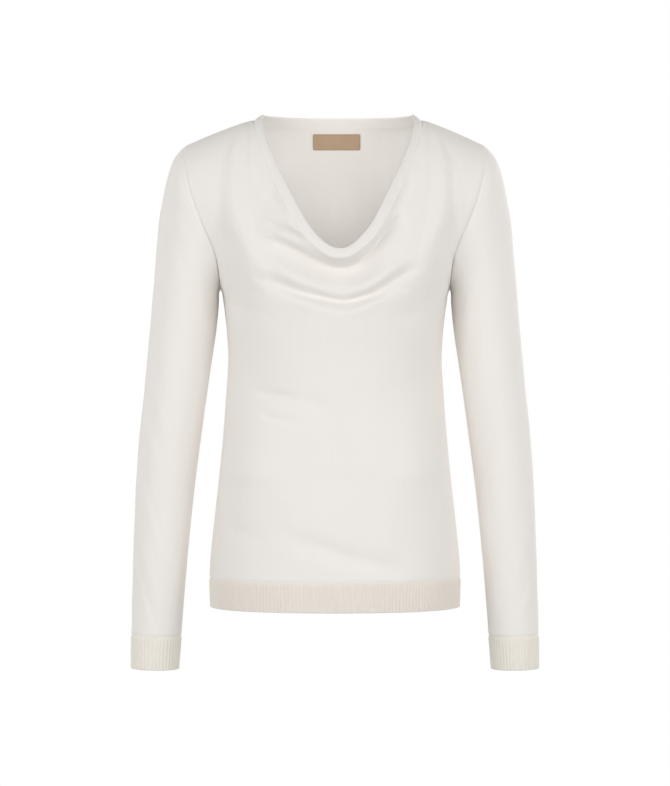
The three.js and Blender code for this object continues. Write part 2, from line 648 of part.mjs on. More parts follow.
// The label's wall, from the back panel's own points moved inwards and cut to the label's size.
function labelGeometry(points, normals) {
  const middle = (points[0].length - 1) / 2;
  const lastRow = points.length - 1;
  // A place of the panel is a row and a column, whole or in between.
  const at = (row, column, away) => {
    const r = Math.min(lastRow - 1, Math.floor(row));
    const c = Math.floor(column);
    const corner = (dr, dc) => points[r + dr][c + dc].clone().addScaledVector(normals[r + dr][c + dc], -away);
    const near = corner(0, 0).lerp(corner(0, 1), column - c);
    const far = corner(1, 0).lerp(corner(1, 1), column - c);
    return near.lerp(far, row - r);
  };
  // Finds the place, along one line of the panel, where a coordinate has the wanted value.
  const find = (low, high, valueAt, wanted) => {
    for (let halving = 0; halving < 40; halving += 1) {
      const mid = (low + high) / 2;
      if (valueAt(mid) > wanted) high = mid;
      else low = mid;
    }
    return (low + high) / 2;
  };
  const rowAt = (drop) => find(0, lastRow, (row) => at(row, middle, 0).z, -drop);
  const topRow = rowAt(LABEL.topDrop);
  const bottomRow = rowAt(LABEL.bottomDrop);
  const rowMid = (topRow + bottomRow) / 2;
  // The panel's columns run to -X.
  const columnAt = (x) => find(middle - 2, middle + 2, (column) => -at(rowMid, column, 0).x, -x);
  // The two ends of a stretch and the whole numbers between them, none right beside an end.
  const whole = (low, high) => {
    const between = [];
    for (let i = Math.ceil(low + 0.05); i < high - 0.05; i += 1) between.push(i);
    return [low, ...between, high];
  };
  const rows = whole(bottomRow, topRow);
  const columns = whole(columnAt(LABEL.at + LABEL.half), columnAt(LABEL.at - LABEL.half));
  const layer = (away) => rows.map((row) => columns.map((column) => at(row, column, away)).reverse());
  return wallGeometry(layer(WALL + LABEL.away + LABEL.wall), layer(WALL + LABEL.away), false);
}

const group = new THREE.Group();

function addMesh(name, geometry, colours) {
  const mesh = new THREE.Mesh(geometry, new THREE.MeshStandardMaterial(colours));
  mesh.name = name;
  group.add(mesh);
}

// A rib meets a panel at its row 0 and a sleeve at its last row, square to the direction "ribAlong".
const up = new THREE.Vector3(0, 0, 1);
const otherCuffAxis = cuffAxis.clone().multiply(new THREE.Vector3(-1, 1, 1));
const body = { part: "body", wall: WALL, round: false, ribRow: 0, ribAlong: up };
const band = { part: "band", wall: BAND_WALL, round: false };
const sleeve = { part: "sleeve", wall: WALL, round: true, ribRow: SLEEVE_ROWS };
const walls = [
  { name: "front", points: panelGrid(FRONT, FRONT_LOWER_ROWS), ...body },
  { name: "back", points: panelGrid(BACK, BACK_LOWER_ROWS), ...body },
  { name: "neck_band_front", points: bandGrid(FRONT), ...band },
  { name: "neck_band_back", points: bandGrid(BACK), ...band },
  { name: "sleeve_left", points: sleeveGrid(false), ...sleeve, ribAlong: cuffAxis },
  { name: "sleeve_right", points: sleeveGrid(true), ...sleeve, ribAlong: otherCuffAxis },
];
for (const wall of walls) wall.normals = normalsOf(wall.points, wall.round);
shareSeams(walls);
for (const wall of walls) {
  if (wall.ribAlong) flattenRow(wall.normals, wall.ribRow, wall.ribAlong);
  const outer = drawnBack(wall.points, wall.normals, wall.round);
  const inner = pushed(outer, wall.normals, -wall.wall);
  addMesh(wall.name, wallGeometry(outer, inner, wall.round), COLOURS.knit);
}
addMesh("hem_rib_front", hemGeometry(FRONT), COLOURS.rib);
addMesh("hem_rib_back", hemGeometry(BACK), COLOURS.rib);
addMesh("cuff_left", cuffGeometry(false), COLOURS.rib);
addMesh("cuff_right", cuffGeometry(true), COLOURS.rib);
const back = walls.find((wall) => wall.name === "back");
addMesh("neck_label", labelGeometry(back.points, back.normals), COLOURS.label);

export default group;
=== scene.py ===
import math

import bpy
import numpy as np
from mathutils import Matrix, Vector
from mathutils.bvhtree import BVHTree


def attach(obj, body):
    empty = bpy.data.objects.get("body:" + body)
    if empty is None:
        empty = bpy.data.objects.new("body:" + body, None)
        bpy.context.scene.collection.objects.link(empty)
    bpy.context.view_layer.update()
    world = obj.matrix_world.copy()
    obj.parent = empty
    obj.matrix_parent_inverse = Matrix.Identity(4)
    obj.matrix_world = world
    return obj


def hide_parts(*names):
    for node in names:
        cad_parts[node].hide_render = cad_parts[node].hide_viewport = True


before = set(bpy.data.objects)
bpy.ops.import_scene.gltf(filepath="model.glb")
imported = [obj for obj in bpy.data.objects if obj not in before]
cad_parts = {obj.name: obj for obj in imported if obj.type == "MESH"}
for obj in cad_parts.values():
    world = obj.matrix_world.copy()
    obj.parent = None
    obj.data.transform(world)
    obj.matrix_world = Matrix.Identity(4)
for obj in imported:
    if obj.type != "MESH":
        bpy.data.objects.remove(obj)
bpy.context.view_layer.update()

# Front panel
# One piece of fine cream jersey, shaped at its sides and cut long at the neck, so that the spare length
# falls in swags. It is linked to the back at the side seams and the shoulders, and to the hem below.
# Metres, +Z up, and the front faces -Y. A drop is a distance down from the shoulders' high points.
JERSEY_WALL = 0.0015
HEM_DROP = 0.5905
HEM_HEIGHT = 0.035
UNDERARM_DROP = 0.211
SHOULDER = {"neck_half": 0.100, "tip_half": 0.181, "neck_drop": 0.0075, "slope": 0.31, "curve": 1.1}
NECK_SHARE = 0.62  # the share of a panel's width that ends on the neck, and the rest on the shoulder
CORNER_ROUND = 0.3
ROW_CROWD = 1.35
SAG_POWER = 2.5
# Between the underarm and the top the columns fan out by "half" at most, over these shares of the width.
FAN = {"half": 0.015, "from": 0.2, "full": 0.58, "to": 1}
# How the upper panel's rows and depths pass from the middle of its width to the armhole.
BLEND = {
    "slower_rows": (0.37, 0.67), "back_slower": 0.7, "armhole_rows": 5, "armhole_bend": 6, "armhole_depth": 8,
    "fullest_low": (0.65, 0.5), "settled_up": 0.4, "settled_across": 0.6,
}
# The lip of the drape: the neck's edge stands forward of the cloth under it.
LIP = {
    "rise": 0.009, "width": 0.0085, "start_drop": 0.060, "full_drop": 0.160, "edge_share": 0.90,
    "slant": (0.47, 0.04, 0.3),
}
# The neck and the drape have slipped a little to one side.
LEAN = {"shift": 0.0056, "spread": 1.2}
FOLD_SAG = 0.25  # a fold sags below its own line by this share of its height
FOLD_FADE = 4  # it dies out towards its ends with this power
FOLD_REACH = 0.93  # and from this share of the panel's width to the side seam
STROKE_FADE = 0.8


def table(columns, *rows):
    """A short table with named columns."""
    return {name: np.array(values) for name, values in zip(columns.split(), zip(*rows))}


BODY = table(
    "drop half front back box",
    (0.120, 0.1460, 0.096, 0.0970, 0.12),
    (0.170, 0.1410, 0.104, 0.0970, 0.12),
    (0.211, 0.1369, 0.108, 0.0940, 0.12),
    (0.215, 0.1352, 0.108, 0.0936, 0.12),
    (0.224, 0.1339, 0.109, 0.0925, 0.12),
    (0.236, 0.1322, 0.109, 0.0910, 0.12),
    (0.262, 0.1294, 0.105, 0.0870, 0.12),
    (0.296, 0.1278, 0.099, 0.0820, 0.12),
    (0.344, 0.1308, 0.095, 0.0840, 0.16),
    (0.392, 0.1344, 0.096, 0.0910, 0.22),
    (0.440, 0.1392, 0.099, 0.1010, 0.20),
    (0.488, 0.1446, 0.102, 0.1090, 0.14),
    (0.536, 0.1494, 0.104, 0.1120, 0.12),
    (0.562, 0.1500, 0.104, 0.1110, 0.12),
    (0.5905, 0.1492, 0.102, 0.1090, 0.12),
)
ARMHOLE = table(
    "drop half",
    (0.03983, 0.1810),
    (0.075, 0.1764),
    (0.097, 0.1710),
    (0.115, 0.1646),
    (0.136, 0.1566),
    (0.156, 0.1475),
    (0.172, 0.1415),
    (0.192, 0.1382),
    (0.211, 0.1369),
)
NECK_FRONT = table(
    "half drop out seam_half seam_drop seam_out",
    (0.0000, 0.1650, 0.1030, 0.0000, 0.1738, 0.1054),
    (0.0100, 0.1628, 0.1024, 0.0122, 0.1713, 0.1048),
    (0.0230, 0.1525, 0.0994, 0.0278, 0.1600, 0.1015),
    (0.0378, 0.1340, 0.0935, 0.0460, 0.1410, 0.0960),
    (0.0558, 0.1005, 0.0820, 0.0650, 0.1060, 0.0840),
    (0.0720, 0.0675, 0.0665, 0.0805, 0.0720, 0.0690),
    (0.0850, 0.0360, 0.0480, 0.0930, 0.0410, 0.0510),
    (0.0910, 0.0110, 0.0240, 0.0995, 0.0165, 0.0280),
    (0.0900, 0.0000, 0.0000, 0.1000, 0.0075, 0.0000),
)
# The drape's folds lie along hanging curves, lowest at "at" and "drop". Each arm climbs by its rise over
# its reach, and its bow and ease bend that climb. A positive height stands forward, and a negative one is
# a crease.
FOLD_COLUMNS = (
    "at drop height above below left_reach left_rise left_bow left_ease "
    "right_reach right_rise right_bow right_ease"
)
FRONT_FOLDS = table(
    FOLD_COLUMNS,
    (0.001, 0.1948, -0.0096, 0.0090, 0.0225, 0.104, 0.0350, 1.7, 2.4, 0.080, 0.060, 2.4, 2.9),
    (0.001, 0.1930, -0.0030, 0.0043, 0.0200, 0.094, 0.0345, 1.7, 2.4, 0.078, 0.060, 2.4, 2.9),
    (0.003, 0.2140, 0.0054, 0.0100, 0.0140, 0.080, 0.0260, 1.9, 1.2, 0.074, 0.030, 1.9, 1.3),
    (0.005, 0.2322, -0.0076, 0.0100, 0.0060, 0.106, 0.0332, 1.4, 1.1, 0.096, 0.0434, 1.95, 1.85),
    (0.005, 0.2314, -0.0032, 0.0060, 0.0100, 0.040, 0.0089, 1.4, 1.1, 0.034, 0.0085, 1.95, 1.85),
    (0.006, 0.2358, 0.0024, 0.0040, 0.0110, 0.082, 0.010, 1.6, 3.0, 0.090, 0.020, 1.6, 1.6),
    (-0.052, 0.3430, -0.0016, 0.0090, 0.0080, 0.040, 0.010, 1.5, 1.0, 0.046, -0.007, 1.5, 1.0),
    (0.020, 0.5330, -0.0026, 0.0160, 0.0080, 0.090, 0.030, 1.2, 1.0, 0.070, -0.012, 1.2, 1.0),
)
# Smaller creases are strokes from one place to another, in the panel's width and drop as the eye sees it.
# Bow is how far the stroke's middle sags below its chord, and sharp is 2 for a soft trough and less for a
# pinched one.
STROKE_COLUMNS = "x0 drop0 x1 drop1 bow height above below sharp"
FRONT_STROKES = table(
    STROKE_COLUMNS,
    (-0.084, 0.1310, -0.036, 0.1500, 0.0000, 0.0048, 0.0150, 0.0036, 2.0),
    (-0.084, 0.1360, -0.022, 0.1560, 0.0000, -0.0032, 0.0032, 0.0038, 1.8),
    (-0.092, 0.1350, -0.026, 0.1668, 0.0010, 0.0030, 0.0035, 0.0032, 2.0),
    (0.040, 0.1500, 0.094, 0.0800, 0.0040, -0.0026, 0.0060, 0.0060, 1.8),
    (-0.094, 0.0820, -0.054, 0.1240, 0.0040, -0.0018, 0.0060, 0.0060, 1.8),
    (-0.150, 0.1180, -0.112, 0.1720, 0.0040, -0.0014, 0.0090, 0.0070, 2.0),
    (0.150, 0.1160, 0.114, 0.1740, 0.0040, -0.0016, 0.0090, 0.0080, 2.0),
    (0.132, 0.2080, 0.070, 0.2520, 0.0060, -0.0015, 0.0120, 0.0080, 2.0),
    (-0.132, 0.2140, -0.086, 0.2420, 0.0050, -0.0011, 0.0100, 0.0080, 2.0),
    (-0.100, 0.3320, -0.046, 0.3380, 0.0020, -0.0022, 0.0050, 0.0030, 1.6),
    (-0.088, 0.3600, -0.042, 0.3690, 0.0020, -0.0022, 0.0050, 0.0030, 1.6),
    (-0.134, 0.3180, -0.040, 0.3260, 0.0060, -0.0024, 0.0200, 0.0260, 2.0),
    (0.134, 0.3140, 0.050, 0.3260, 0.0050, -0.0024, 0.0200, 0.0260, 2.0),
    (-0.140, 0.4240, -0.046, 0.4300, 0.0040, 0.0026, 0.0280, 0.0120, 2.0),
    (0.142, 0.4220, 0.050, 0.4300, 0.0040, 0.0026, 0.0280, 0.0120, 2.0),
    (-0.070, 0.4300, 0.074, 0.4380, 0.0060, -0.0014, 0.0120, 0.0200, 2.0),
    (-0.062, 0.4960, 0.082, 0.5450, 0.0030, -0.0024, 0.0100, 0.0060, 1.8),
    (-0.130, 0.4900, -0.080, 0.5060, 0.0030, -0.0016, 0.0090, 0.0080, 2.0),
)
FRONT = {
    "facing": -1, "depth": "front", "neck": NECK_FRONT, "folds": FRONT_FOLDS, "strokes": FRONT_STROKES,
    "seed": 11, "bulge": (0, 0.056, 1.3), "sag": 0.039, "armhole": 0.056, "lean_drops": (0.300, 0.200),
}
# Rows and columns of the panel's mesh. They are closest beside the seams, and more so at the hem's seam.
EDGE_STEPS = np.array((0.0, 0.003, 0.006, 0.0095, 0.0135, 0.018))
EDGE_END = 0.024
HEM_SEAM_CROWD = 0.6
FRONT_MESH = {"columns": 132, "lower_rows": 128, "upper_rows": 104}
# Small creases and slow unevenness die out beside the seams, between these distances from them.
CLEAR_OF_SIDES = (0.002, 0.030)
CLEAR_OF_ENDS = (0, 0.012)
PANEL_WAVES = {"length": 0.055, "height": 0.00022}
# A linked seam pulls the cloth in at the seam and leaves a soft roll beside it.
SEAM = {"dip": 0.0006, "dip_width": 0.0019, "roll": 0.0002, "roll_at": 0.0036, "roll_width": 0.0022}

JERSEY_COLOUR = (0.875, 0.845, 0.812)
# The darker colour serves the knit's random tone and the painted shade between its stitches.
JERSEY_SHADE = (0.835, 0.795, 0.745)
JERSEY_WALE = 0.0011  # width of one column of stitches
JERSEY_COURSE = 0.0008  # height of one row of stitches
STITCH_DEPTH = 0.00005
JERSEY_GROOVE_SHADE = 0.35  # how much painted shade, in the darker colour, lies between the stitches
STITCH = {"slant": 1.4, "wobble": 0.9, "roundness": 0.6, "loop": 0.45, "fuzz": 0.5}
YARN_TONE = {"clouds": 0.75, "streaks": 0.5, "offset": 0.35}
KNIT_SURFACE = {"Roughness": 0.88, "Specular IOR Level": 0.25, "Sheen Weight": 0.12, "Sheen Roughness": 0.5}


def lerp(start, end, share):
    return start + (end - start) * share


def ease(start, end, x):
    t = np.clip((x - start) / (end - start), 0, 1)
    return t * t * (3 - 2 * t)


def read(rows, column, at, key=None):
    """One column of a table where its key column has the value at, on a smooth curve through the rows."""
    values = rows[column]
    keys = rows[key] if key else np.arange(len(values), dtype=float)
    x = np.clip(at, keys[0], keys[-1])
    i = np.clip(np.searchsorted(keys, x) - 1, 0, len(keys) - 2)
    before = np.maximum(np.arange(len(keys)) - 1, 0)
    after = np.minimum(np.arange(len(keys)) + 1, len(keys) - 1)
    slope = (values[after] - values[before]) / (keys[after] - keys[before])
    span = keys[i + 1] - keys[i]
    t = (x - keys[i]) / span
    return (
        ((2 * t - 3) * t * t + 1) * values[i] + (3 - 2 * t) * t * t * values[i + 1]
        + span * (((t - 2) * t * t + t) * slope[i] + (t - 1) * t * t * slope[i + 1])
    )


def row_of(rows, i):
    return {name: values[i] for name, values in rows.items()}


def fold_lift(fold, x, drop):
    """How far one fold lifts the cloth at a place of the panel."""
    away = x - fold["at"]
    reach, rise, bow, curve = (
        np.where(away < 0, fold["left_" + part], fold["right_" + part])
        for part in ("reach", "rise", "bow", "ease")
    )
    t = np.minimum(np.abs(away) / reach, 1)
    climb = rise * (1 - (1 - t**bow) ** curve)
    below = drop - (fold["drop"] - climb)
    width = np.where(below > 0, fold["below"], fold["above"])
    return fold["height"] * (1 - t**FOLD_FADE) * np.exp(-((below / width) ** 2))


def stroke_lift(strokes, x, drop):
    """How far the small creases lift the cloth."""
    lift = np.zeros_like(x)
    for i in range(len(strokes["x0"])):
        stroke = row_of(strokes, i)
        run, fall = stroke["x1"] - stroke["x0"], stroke["drop1"] - stroke["drop0"]
        length = math.hypot(run, fall)
        beside, below = x - stroke["x0"], drop - stroke["drop0"]
        t = (beside * run + below * fall) / length**2
        across = (below * abs(run) - beside * fall * math.copysign(1, run)) / length
        inside = np.clip(t, 0, 1)
        arch = 4 * inside * (1 - inside)
        across = across - stroke["bow"] * arch
        width = np.where(across > 0, stroke["below"], stroke["above"])
        lift += stroke["height"] * arch**STROKE_FADE * np.exp(-(np.abs(across / width) ** stroke["sharp"]))
    return lift


def lip_lift(drop, below_seam):
    """How far the lip stands forward, at a distance below the band's seam, where that seam has this drop."""
    share = np.where(below_seam < 0, 1, np.exp(-((below_seam / LIP["width"]) ** 2)))
    return LIP["rise"] * share * ease(LIP["start_drop"], LIP["full_drop"], drop)


def placed(side, u, x, drop, out, lip):
    """Points of the front or back from their sideways place, drop and depth, with the folds added."""
    lift = lip + sum(fold_lift(row_of(side["folds"], i), x, drop) for i in range(len(side["folds"]["at"])))
    fold = lift * (1 - ease(FOLD_REACH, 1, np.abs(u)))
    lean = LEAN["shift"] * (1 - u * u) ** LEAN["spread"] * ease(*side["lean_drops"], drop)
    return np.stack([x + lean, side["facing"] * (out + fold), -(drop + FOLD_SAG * fold)], axis=-1)


def shoulder_seam(share):
    half = lerp(SHOULDER["neck_half"], SHOULDER["tip_half"], share)
    along = half - SHOULDER["neck_half"]
    return half, SHOULDER["neck_drop"] + SHOULDER["slope"] * along + SHOULDER["curve"] * along**2


def top_edge(side, u):
    """The top of a panel: the band's seam near the middle, and the shoulder seam beyond it."""
    half, drop = shoulder_seam((u - NECK_SHARE) / (1 - NECK_SHARE))
    at = np.minimum(u / NECK_SHARE, 1) * (len(side["neck"]["half"]) - 1)
    on_neck = u <= NECK_SHARE
    return (
        np.where(on_neck, read(side["neck"], "seam_half", at), half),
        np.where(on_neck, read(side["neck"], "seam_drop", at), drop),
        np.where(on_neck, read(side["neck"], "seam_out", at), 0),
    )


def body_at(side, u, drop):
    """The body without its drape, at a share u of the way from the middle to the side seam."""
    turn = u * math.pi / 2
    box = 1 + read(BODY, "box", drop, "drop") * np.sin(turn) ** 2
    half = read(BODY, "half", drop, "drop") * np.sin(turn)
    return half, read(BODY, side["depth"], drop, "drop") * np.cos(turn) * box


def underarm_row(side, u):
    return UNDERARM_DROP + side["sag"] * (1 - u**SAG_POWER)


def lower_points(side, u, t):
    """Below the underarm: t runs from the hem's seam up to the underarm."""
    apart = np.abs(u)
    drop = lerp(HEM_DROP - HEM_HEIGHT, underarm_row(side, apart), 1 - (1 - t) ** ROW_CROWD)
    half, out = body_at(side, apart, drop)
    return placed(side, u, np.sign(u) * half, drop, out, 0)


def rounded_top(side, apart, t):
    """The top edge below itself, with its corner rounded off more and more."""
    reach = np.minimum(CORNER_ROUND * (1 - t), 1 - apart)
    steps = (-1, -0.6, -0.2, 0.2, 0.6, 1)
    total = [0, 0, 0]
    for step in steps:
        at = apart + step * reach
        half, drop, out = top_edge(side, np.abs(at))
        total = [total[0] + half * np.sign(at), total[1] + drop, total[2] + out]
    return [value / len(steps) for value in total]


def upper_points(side, u, t):
    """Above the underarm: t runs from the underarm up to the neck or the shoulder."""
    apart = np.abs(u)
    base = underarm_row(side, apart)
    top_half, top_drop, top_out = rounded_top(side, apart, t)
    at_armhole = (1 - np.cos(np.pi * t)) / 2
    slower = ease(*BLEND["slower_rows"], apart) if side["facing"] < 0 else BLEND["back_slower"]
    pace = lerp(lerp(t, np.sin(t * np.pi / 2), slower), at_armhole, apart ** BLEND["armhole_rows"])
    drop = lerp(base, top_drop, pace)
    start_half, start_out = body_at(side, apart, base)
    tip_half, tip_drop = shoulder_seam(1)
    edge_drop = lerp(UNDERARM_DROP, tip_drop, at_armhole)
    straight = lerp(ARMHOLE["half"][-1], tip_half, t)
    fan_width = ease(FAN["from"], FAN["full"], apart) * ease(FAN["to"], FAN["full"], apart)
    fan = FAN["half"] * np.sin(np.pi * t) * fan_width
    bend = (read(ARMHOLE, "half", edge_drop, "drop") - straight) * apart ** BLEND["armhole_bend"]
    half = lerp(start_half, top_half, t) + fan + bend
    middle, beside, power = side["bulge"]
    full = lerp(middle + beside * apart**power, side["armhole"], apart ** BLEND["armhole_depth"])
    low = lerp(BLEND["fullest_low"][0], 1, ease(BLEND["fullest_low"][1], 1, apart))
    swell = full * np.sin(np.pi * t**low)
    settle = lerp(ease(0, BLEND["settled_up"], t), 1, ease(BLEND["settled_across"], 1, apart))
    out = lerp(body_at(side, apart, drop)[1], lerp(start_out, top_out, t) + swell, settle)
    slant = lerp(1, LIP["slant"][0], ease(LIP["slant"][1], LIP["slant"][2], apart))
    lip = lip_lift(top_drop, (drop - top_drop) * slant) if side["facing"] < 0 else 0
    return placed(side, u, np.sign(u) * half, drop, out, lip * (apart < NECK_SHARE))


def panel_points(side, mesh):
    """The grid of a panel's outer surface. Rows run up from the hem, and columns so that it faces out."""
    inner = np.linspace(EDGE_END * 2, 2 - EDGE_END * 2, mesh["columns"]) - 1
    u = np.concatenate([EDGE_STEPS - 1, inner, (1 - EDGE_STEPS)[::-1]]) * -side["facing"]
    first = EDGE_END * HEM_SEAM_CROWD
    low = np.concatenate([EDGE_STEPS * HEM_SEAM_CROWD, np.linspace(first, 1, mesh["lower_rows"])[:-1]])
    high = np.concatenate([np.linspace(0, 1 - EDGE_END, mesh["upper_rows"]), (1 - EDGE_STEPS)[::-1]])
    lower = lower_points(side, *np.meshgrid(u, low))
    return np.concatenate([lower, upper_points(side, *np.meshgrid(u, high))])


def unit(vectors):
    return vectors / np.linalg.norm(vectors, axis=-1, keepdims=True)


def normals_of(points, tube=False):
    """Outward directions of a grid. A tube's columns go round, without a repeated one."""
    across = np.gradient(points, axis=1)
    if tube:
        across = np.roll(points, -1, axis=1) - np.roll(points, 1, axis=1)
    return unit(np.cross(across, np.gradient(points, axis=0)))


def distances(points):
    """Lengths measured on the cloth from a grid's first column, last column, first row and last row."""
    across = np.linalg.norm(np.diff(points, axis=1), axis=-1)
    along = np.linalg.norm(np.diff(points, axis=0), axis=-1)
    left = np.pad(np.cumsum(across, axis=1), ((0, 0), (1, 0)))
    bottom = np.pad(np.cumsum(along, axis=0), ((1, 0), (0, 0)))
    return left, left[:, -1:] - left, bottom, bottom[-1:] - bottom


def seam_relief(distance):
    """The dip and the soft roll beside a linked seam."""
    roll = (distance - SEAM["roll_at"]) / SEAM["roll_width"]
    return SEAM["roll"] * np.exp(-(roll**2)) - SEAM["dip"] * np.exp(-((distance / SEAM["dip_width"]) ** 2))


def cloth_shell(name, outer, inner, pattern, tube=False):
    """A closed wall of cloth between an outer and an inner grid, with its stitches laid on in metres."""
    rows, columns = outer.shape[:2]
    number = np.arange(2 * rows * columns).reshape(2, rows, columns)
    if tube:
        number = np.concatenate([number, number[:, :, :1]], axis=2)
    place = np.arange(rows * number.shape[2]).reshape(rows, -1)
    place = np.stack([place, place])

    def faces(grid):
        quads = np.stack([grid[:, :-1, :-1], grid[:, :-1, 1:], grid[:, 1:, 1:], grid[:, 1:, :-1]], axis=-1)
        borders = [grid[:, 0, ::-1], grid[:, -1]]
        if not tube:
            borders += [grid[:, :, 0], grid[:, ::-1, -1]]
        rims = [np.stack([line[0, :-1], line[0, 1:], line[1, 1:], line[1, :-1]], axis=-1) for line in borders]
        return np.concatenate([quads[0].reshape(-1, 4), quads[1][..., ::-1].reshape(-1, 4), *rims])

    mesh = bpy.data.meshes.new(name)
    points = np.concatenate([outer.reshape(-1, 3), inner.reshape(-1, 3)])
    mesh.from_pydata(points.tolist(), [], faces(number).tolist())
    layer = mesh.uv_layers.new(name="cloth")
    layer.data.foreach_set("uv", pattern.reshape(-1, 2)[faces(place).ravel()].ravel())
    mesh.shade_smooth()
    mesh.set_sharp_from_angle(angle=math.radians(60))
    piece = bpy.data.objects.new(name, mesh)
    bpy.context.scene.collection.objects.link(piece)
    return piece


def soft_waves(x, y, seed, length, height):
    """Slow unevenness of hanging cloth: a few crossing waves of about this length."""
    chance = np.random.default_rng(seed)
    total = np.zeros_like(x)
    count = 9
    for angle, phase, stretch in zip(
        chance.uniform(0, np.pi, count), chance.uniform(0, 2 * np.pi, count), chance.uniform(0.7, 1.6, count)
    ):
        total += np.sin((x * np.cos(angle) + y * np.sin(angle)) * 2 * np.pi / (length * stretch) + phase)
    return height * total / math.sqrt(count)


def sewn_panel(name, side, sizes):
    """The front or the back, with its seams, small creases and stitches."""
    points = panel_points(side, sizes)
    left, right, bottom, top = distances(points)
    x, drop = points[..., 0], -points[..., 2]
    lift = stroke_lift(side["strokes"], x, drop) + soft_waves(left, drop, side["seed"], **PANEL_WAVES)
    lift *= ease(*CLEAR_OF_SIDES, np.minimum(left, right)) * ease(*CLEAR_OF_ENDS, np.minimum(bottom, top))
    normals = normals_of(points)
    inner = points + normals * (lift - JERSEY_WALL)[..., None]
    outer = points + normals * (lift + sum(seam_relief(way) for way in (left, right, bottom, top)))[..., None]
    middle = left[:, left.shape[1] // 2][:, None]
    return cloth_shell(name, outer, inner, np.stack([left - middle, bottom], axis=-1))


def new_group(name, inputs, outputs):
    """An empty node group with named inputs and outputs, and its two end nodes."""
    tree = bpy.data.node_groups.new(name, "ShaderNodeTree")
    for label, kind in inputs:
        tree.interface.new_socket(name=label, in_out="INPUT", socket_type=kind)
    for label, kind in outputs:
        tree.interface.new_socket(name=label, in_out="OUTPUT", socket_type=kind)
    return tree, tree.nodes.new("NodeGroupInput").outputs, tree.nodes.new("NodeGroupOutput").inputs


def maths(tree, operation, *values, clamp=False):
    """One Math node. Its values are numbers or other nodes' outputs."""
    node = tree.nodes.new("ShaderNodeMath")
    node.operation = operation
    node.use_clamp = clamp
    for socket, value in zip(node.inputs, values):
        if isinstance(value, (int, float)):
            socket.default_value = value
        else:
            tree.links.new(value, socket)
    return node.outputs[0]


def stretched_noise(tree, vector, scale, detail):
    """Noise with its own scale along each axis of the vector, in noise waves for each metre."""
    mapping = tree.nodes.new("ShaderNodeMapping")
    mapping.inputs["Scale"].default_value = scale
    tree.links.new(vector, mapping.inputs["Vector"])
    noise = tree.nodes.new("ShaderNodeTexNoise")
    noise.inputs["Scale"].default_value = 1
    noise.inputs["Detail"].default_value = detail
    tree.links.new(mapping.outputs["Vector"], noise.inputs["Vector"])
    return noise.outputs["Fac"]


def jersey_stitches():
    """Plain knit: columns of V-shaped stitches, each of two slanting legs."""
    tree, given, out = new_group(
        "jersey stitches",
        [("Pattern", "NodeSocketVector"), ("Wale", "NodeSocketFloat"), ("Course", "NodeSocketFloat")],
        [("Height", "NodeSocketFloat"), ("Groove", "NodeSocketFloat")],
    )
    split = tree.nodes.new("ShaderNodeSeparateXYZ")
    tree.links.new(given["Pattern"], split.inputs[0])
    wobble = stretched_noise(tree, given["Pattern"], (90, 90, 1), 1.0)
    across = maths(tree, "DIVIDE", split.outputs["X"], given["Wale"])
    across = maths(tree, "MULTIPLY_ADD", wobble, STITCH["wobble"], across)
    from_middle = maths(tree, "ABSOLUTE", maths(tree, "SUBTRACT", maths(tree, "FRACT", across), 0.5))
    along = maths(tree, "DIVIDE", split.outputs["Y"], given["Course"])
    slanted = maths(tree, "FRACT", maths(tree, "MULTIPLY_ADD", from_middle, STITCH["slant"], along))
    leg = maths(tree, "SINE", maths(tree, "MULTIPLY", from_middle, 2 * math.pi))
    leg = maths(tree, "POWER", maths(tree, "MAXIMUM", leg, 0.0), STITCH["roundness"])
    loop = maths(tree, "SINE", maths(tree, "MULTIPLY", slanted, math.pi))
    loop = maths(tree, "MULTIPLY_ADD", loop, STITCH["loop"], 1 - STITCH["loop"])
    height = maths(tree, "MULTIPLY", leg, loop)
    fuzz = stretched_noise(tree, given["Pattern"], (2600, 2600, 1), 2.0)
    tree.links.new(maths(tree, "MULTIPLY_ADD", fuzz, STITCH["fuzz"], height), out["Height"])
    tree.links.new(maths(tree, "SUBTRACT", 1.0, height, clamp=True), out["Groove"])
    return tree


def tone_and_groove_shade():
    """Slow changes of tone in the knit, soft clouds and faint streaks along the columns of stitches, and
    painted shade between the stitches.
    """
    tree, given, out = new_group(
        "knit tone and groove shade",
        [("Pattern", "NodeSocketVector"), ("Groove", "NodeSocketFloat"), ("Groove Shade", "NodeSocketFloat")],
        [("Shade", "NodeSocketFloat")],
    )
    clouds = stretched_noise(tree, given["Pattern"], (14, 9, 1), 3.0)
    streaks = stretched_noise(tree, given["Pattern"], (260, 5, 1), 2.0)
    total = maths(tree, "MULTIPLY", streaks, YARN_TONE["streaks"])
    total = maths(tree, "MULTIPLY_ADD", clouds, YARN_TONE["clouds"], total)
    total = maths(tree, "SUBTRACT", total, YARN_TONE["offset"])
    # Painted shade: the grooves between the stitches are pushed towards the darker colour.
    painted_shade = maths(tree, "MULTIPLY", given["Groove"], given["Groove Shade"])
    tree.links.new(maths(tree, "ADD", total, painted_shade, clamp=True), out["Shade"])
    return tree


STITCHES = jersey_stitches()
TONE_AND_GROOVE_SHADE = tone_and_groove_shade()


def new_material(name, surface):
    """A material with the plain values of its surface, and its node tree and shader."""
    material = bpy.data.materials.new(name)
    material.use_nodes = True
    tree = material.node_tree
    shader = tree.nodes["Principled BSDF"]
    for label, value in surface.items():
        shader.inputs[label].default_value = value
    return material, tree, shader


def mixed(tree, factor, first, second):
    """A colour between two others, by another node's output."""
    mix = tree.nodes.new("ShaderNodeMix")
    mix.data_type = "RGBA"
    mix.inputs["A"].default_value = (*first, 1)
    mix.inputs["B"].default_value = (*second, 1)
    tree.links.new(factor, mix.inputs["Factor"])
    return mix.outputs["Result"]


def add_bump(tree, shader, height, depth):
    """A fine bump on the shader's normal, with its depth in metres."""
    bump = tree.nodes.new("ShaderNodeBump")
    bump.inputs["Distance"].default_value = depth
    tree.links.new(height, bump.inputs["Height"])
    tree.links.new(bump.outputs["Normal"], shader.inputs["Normal"])


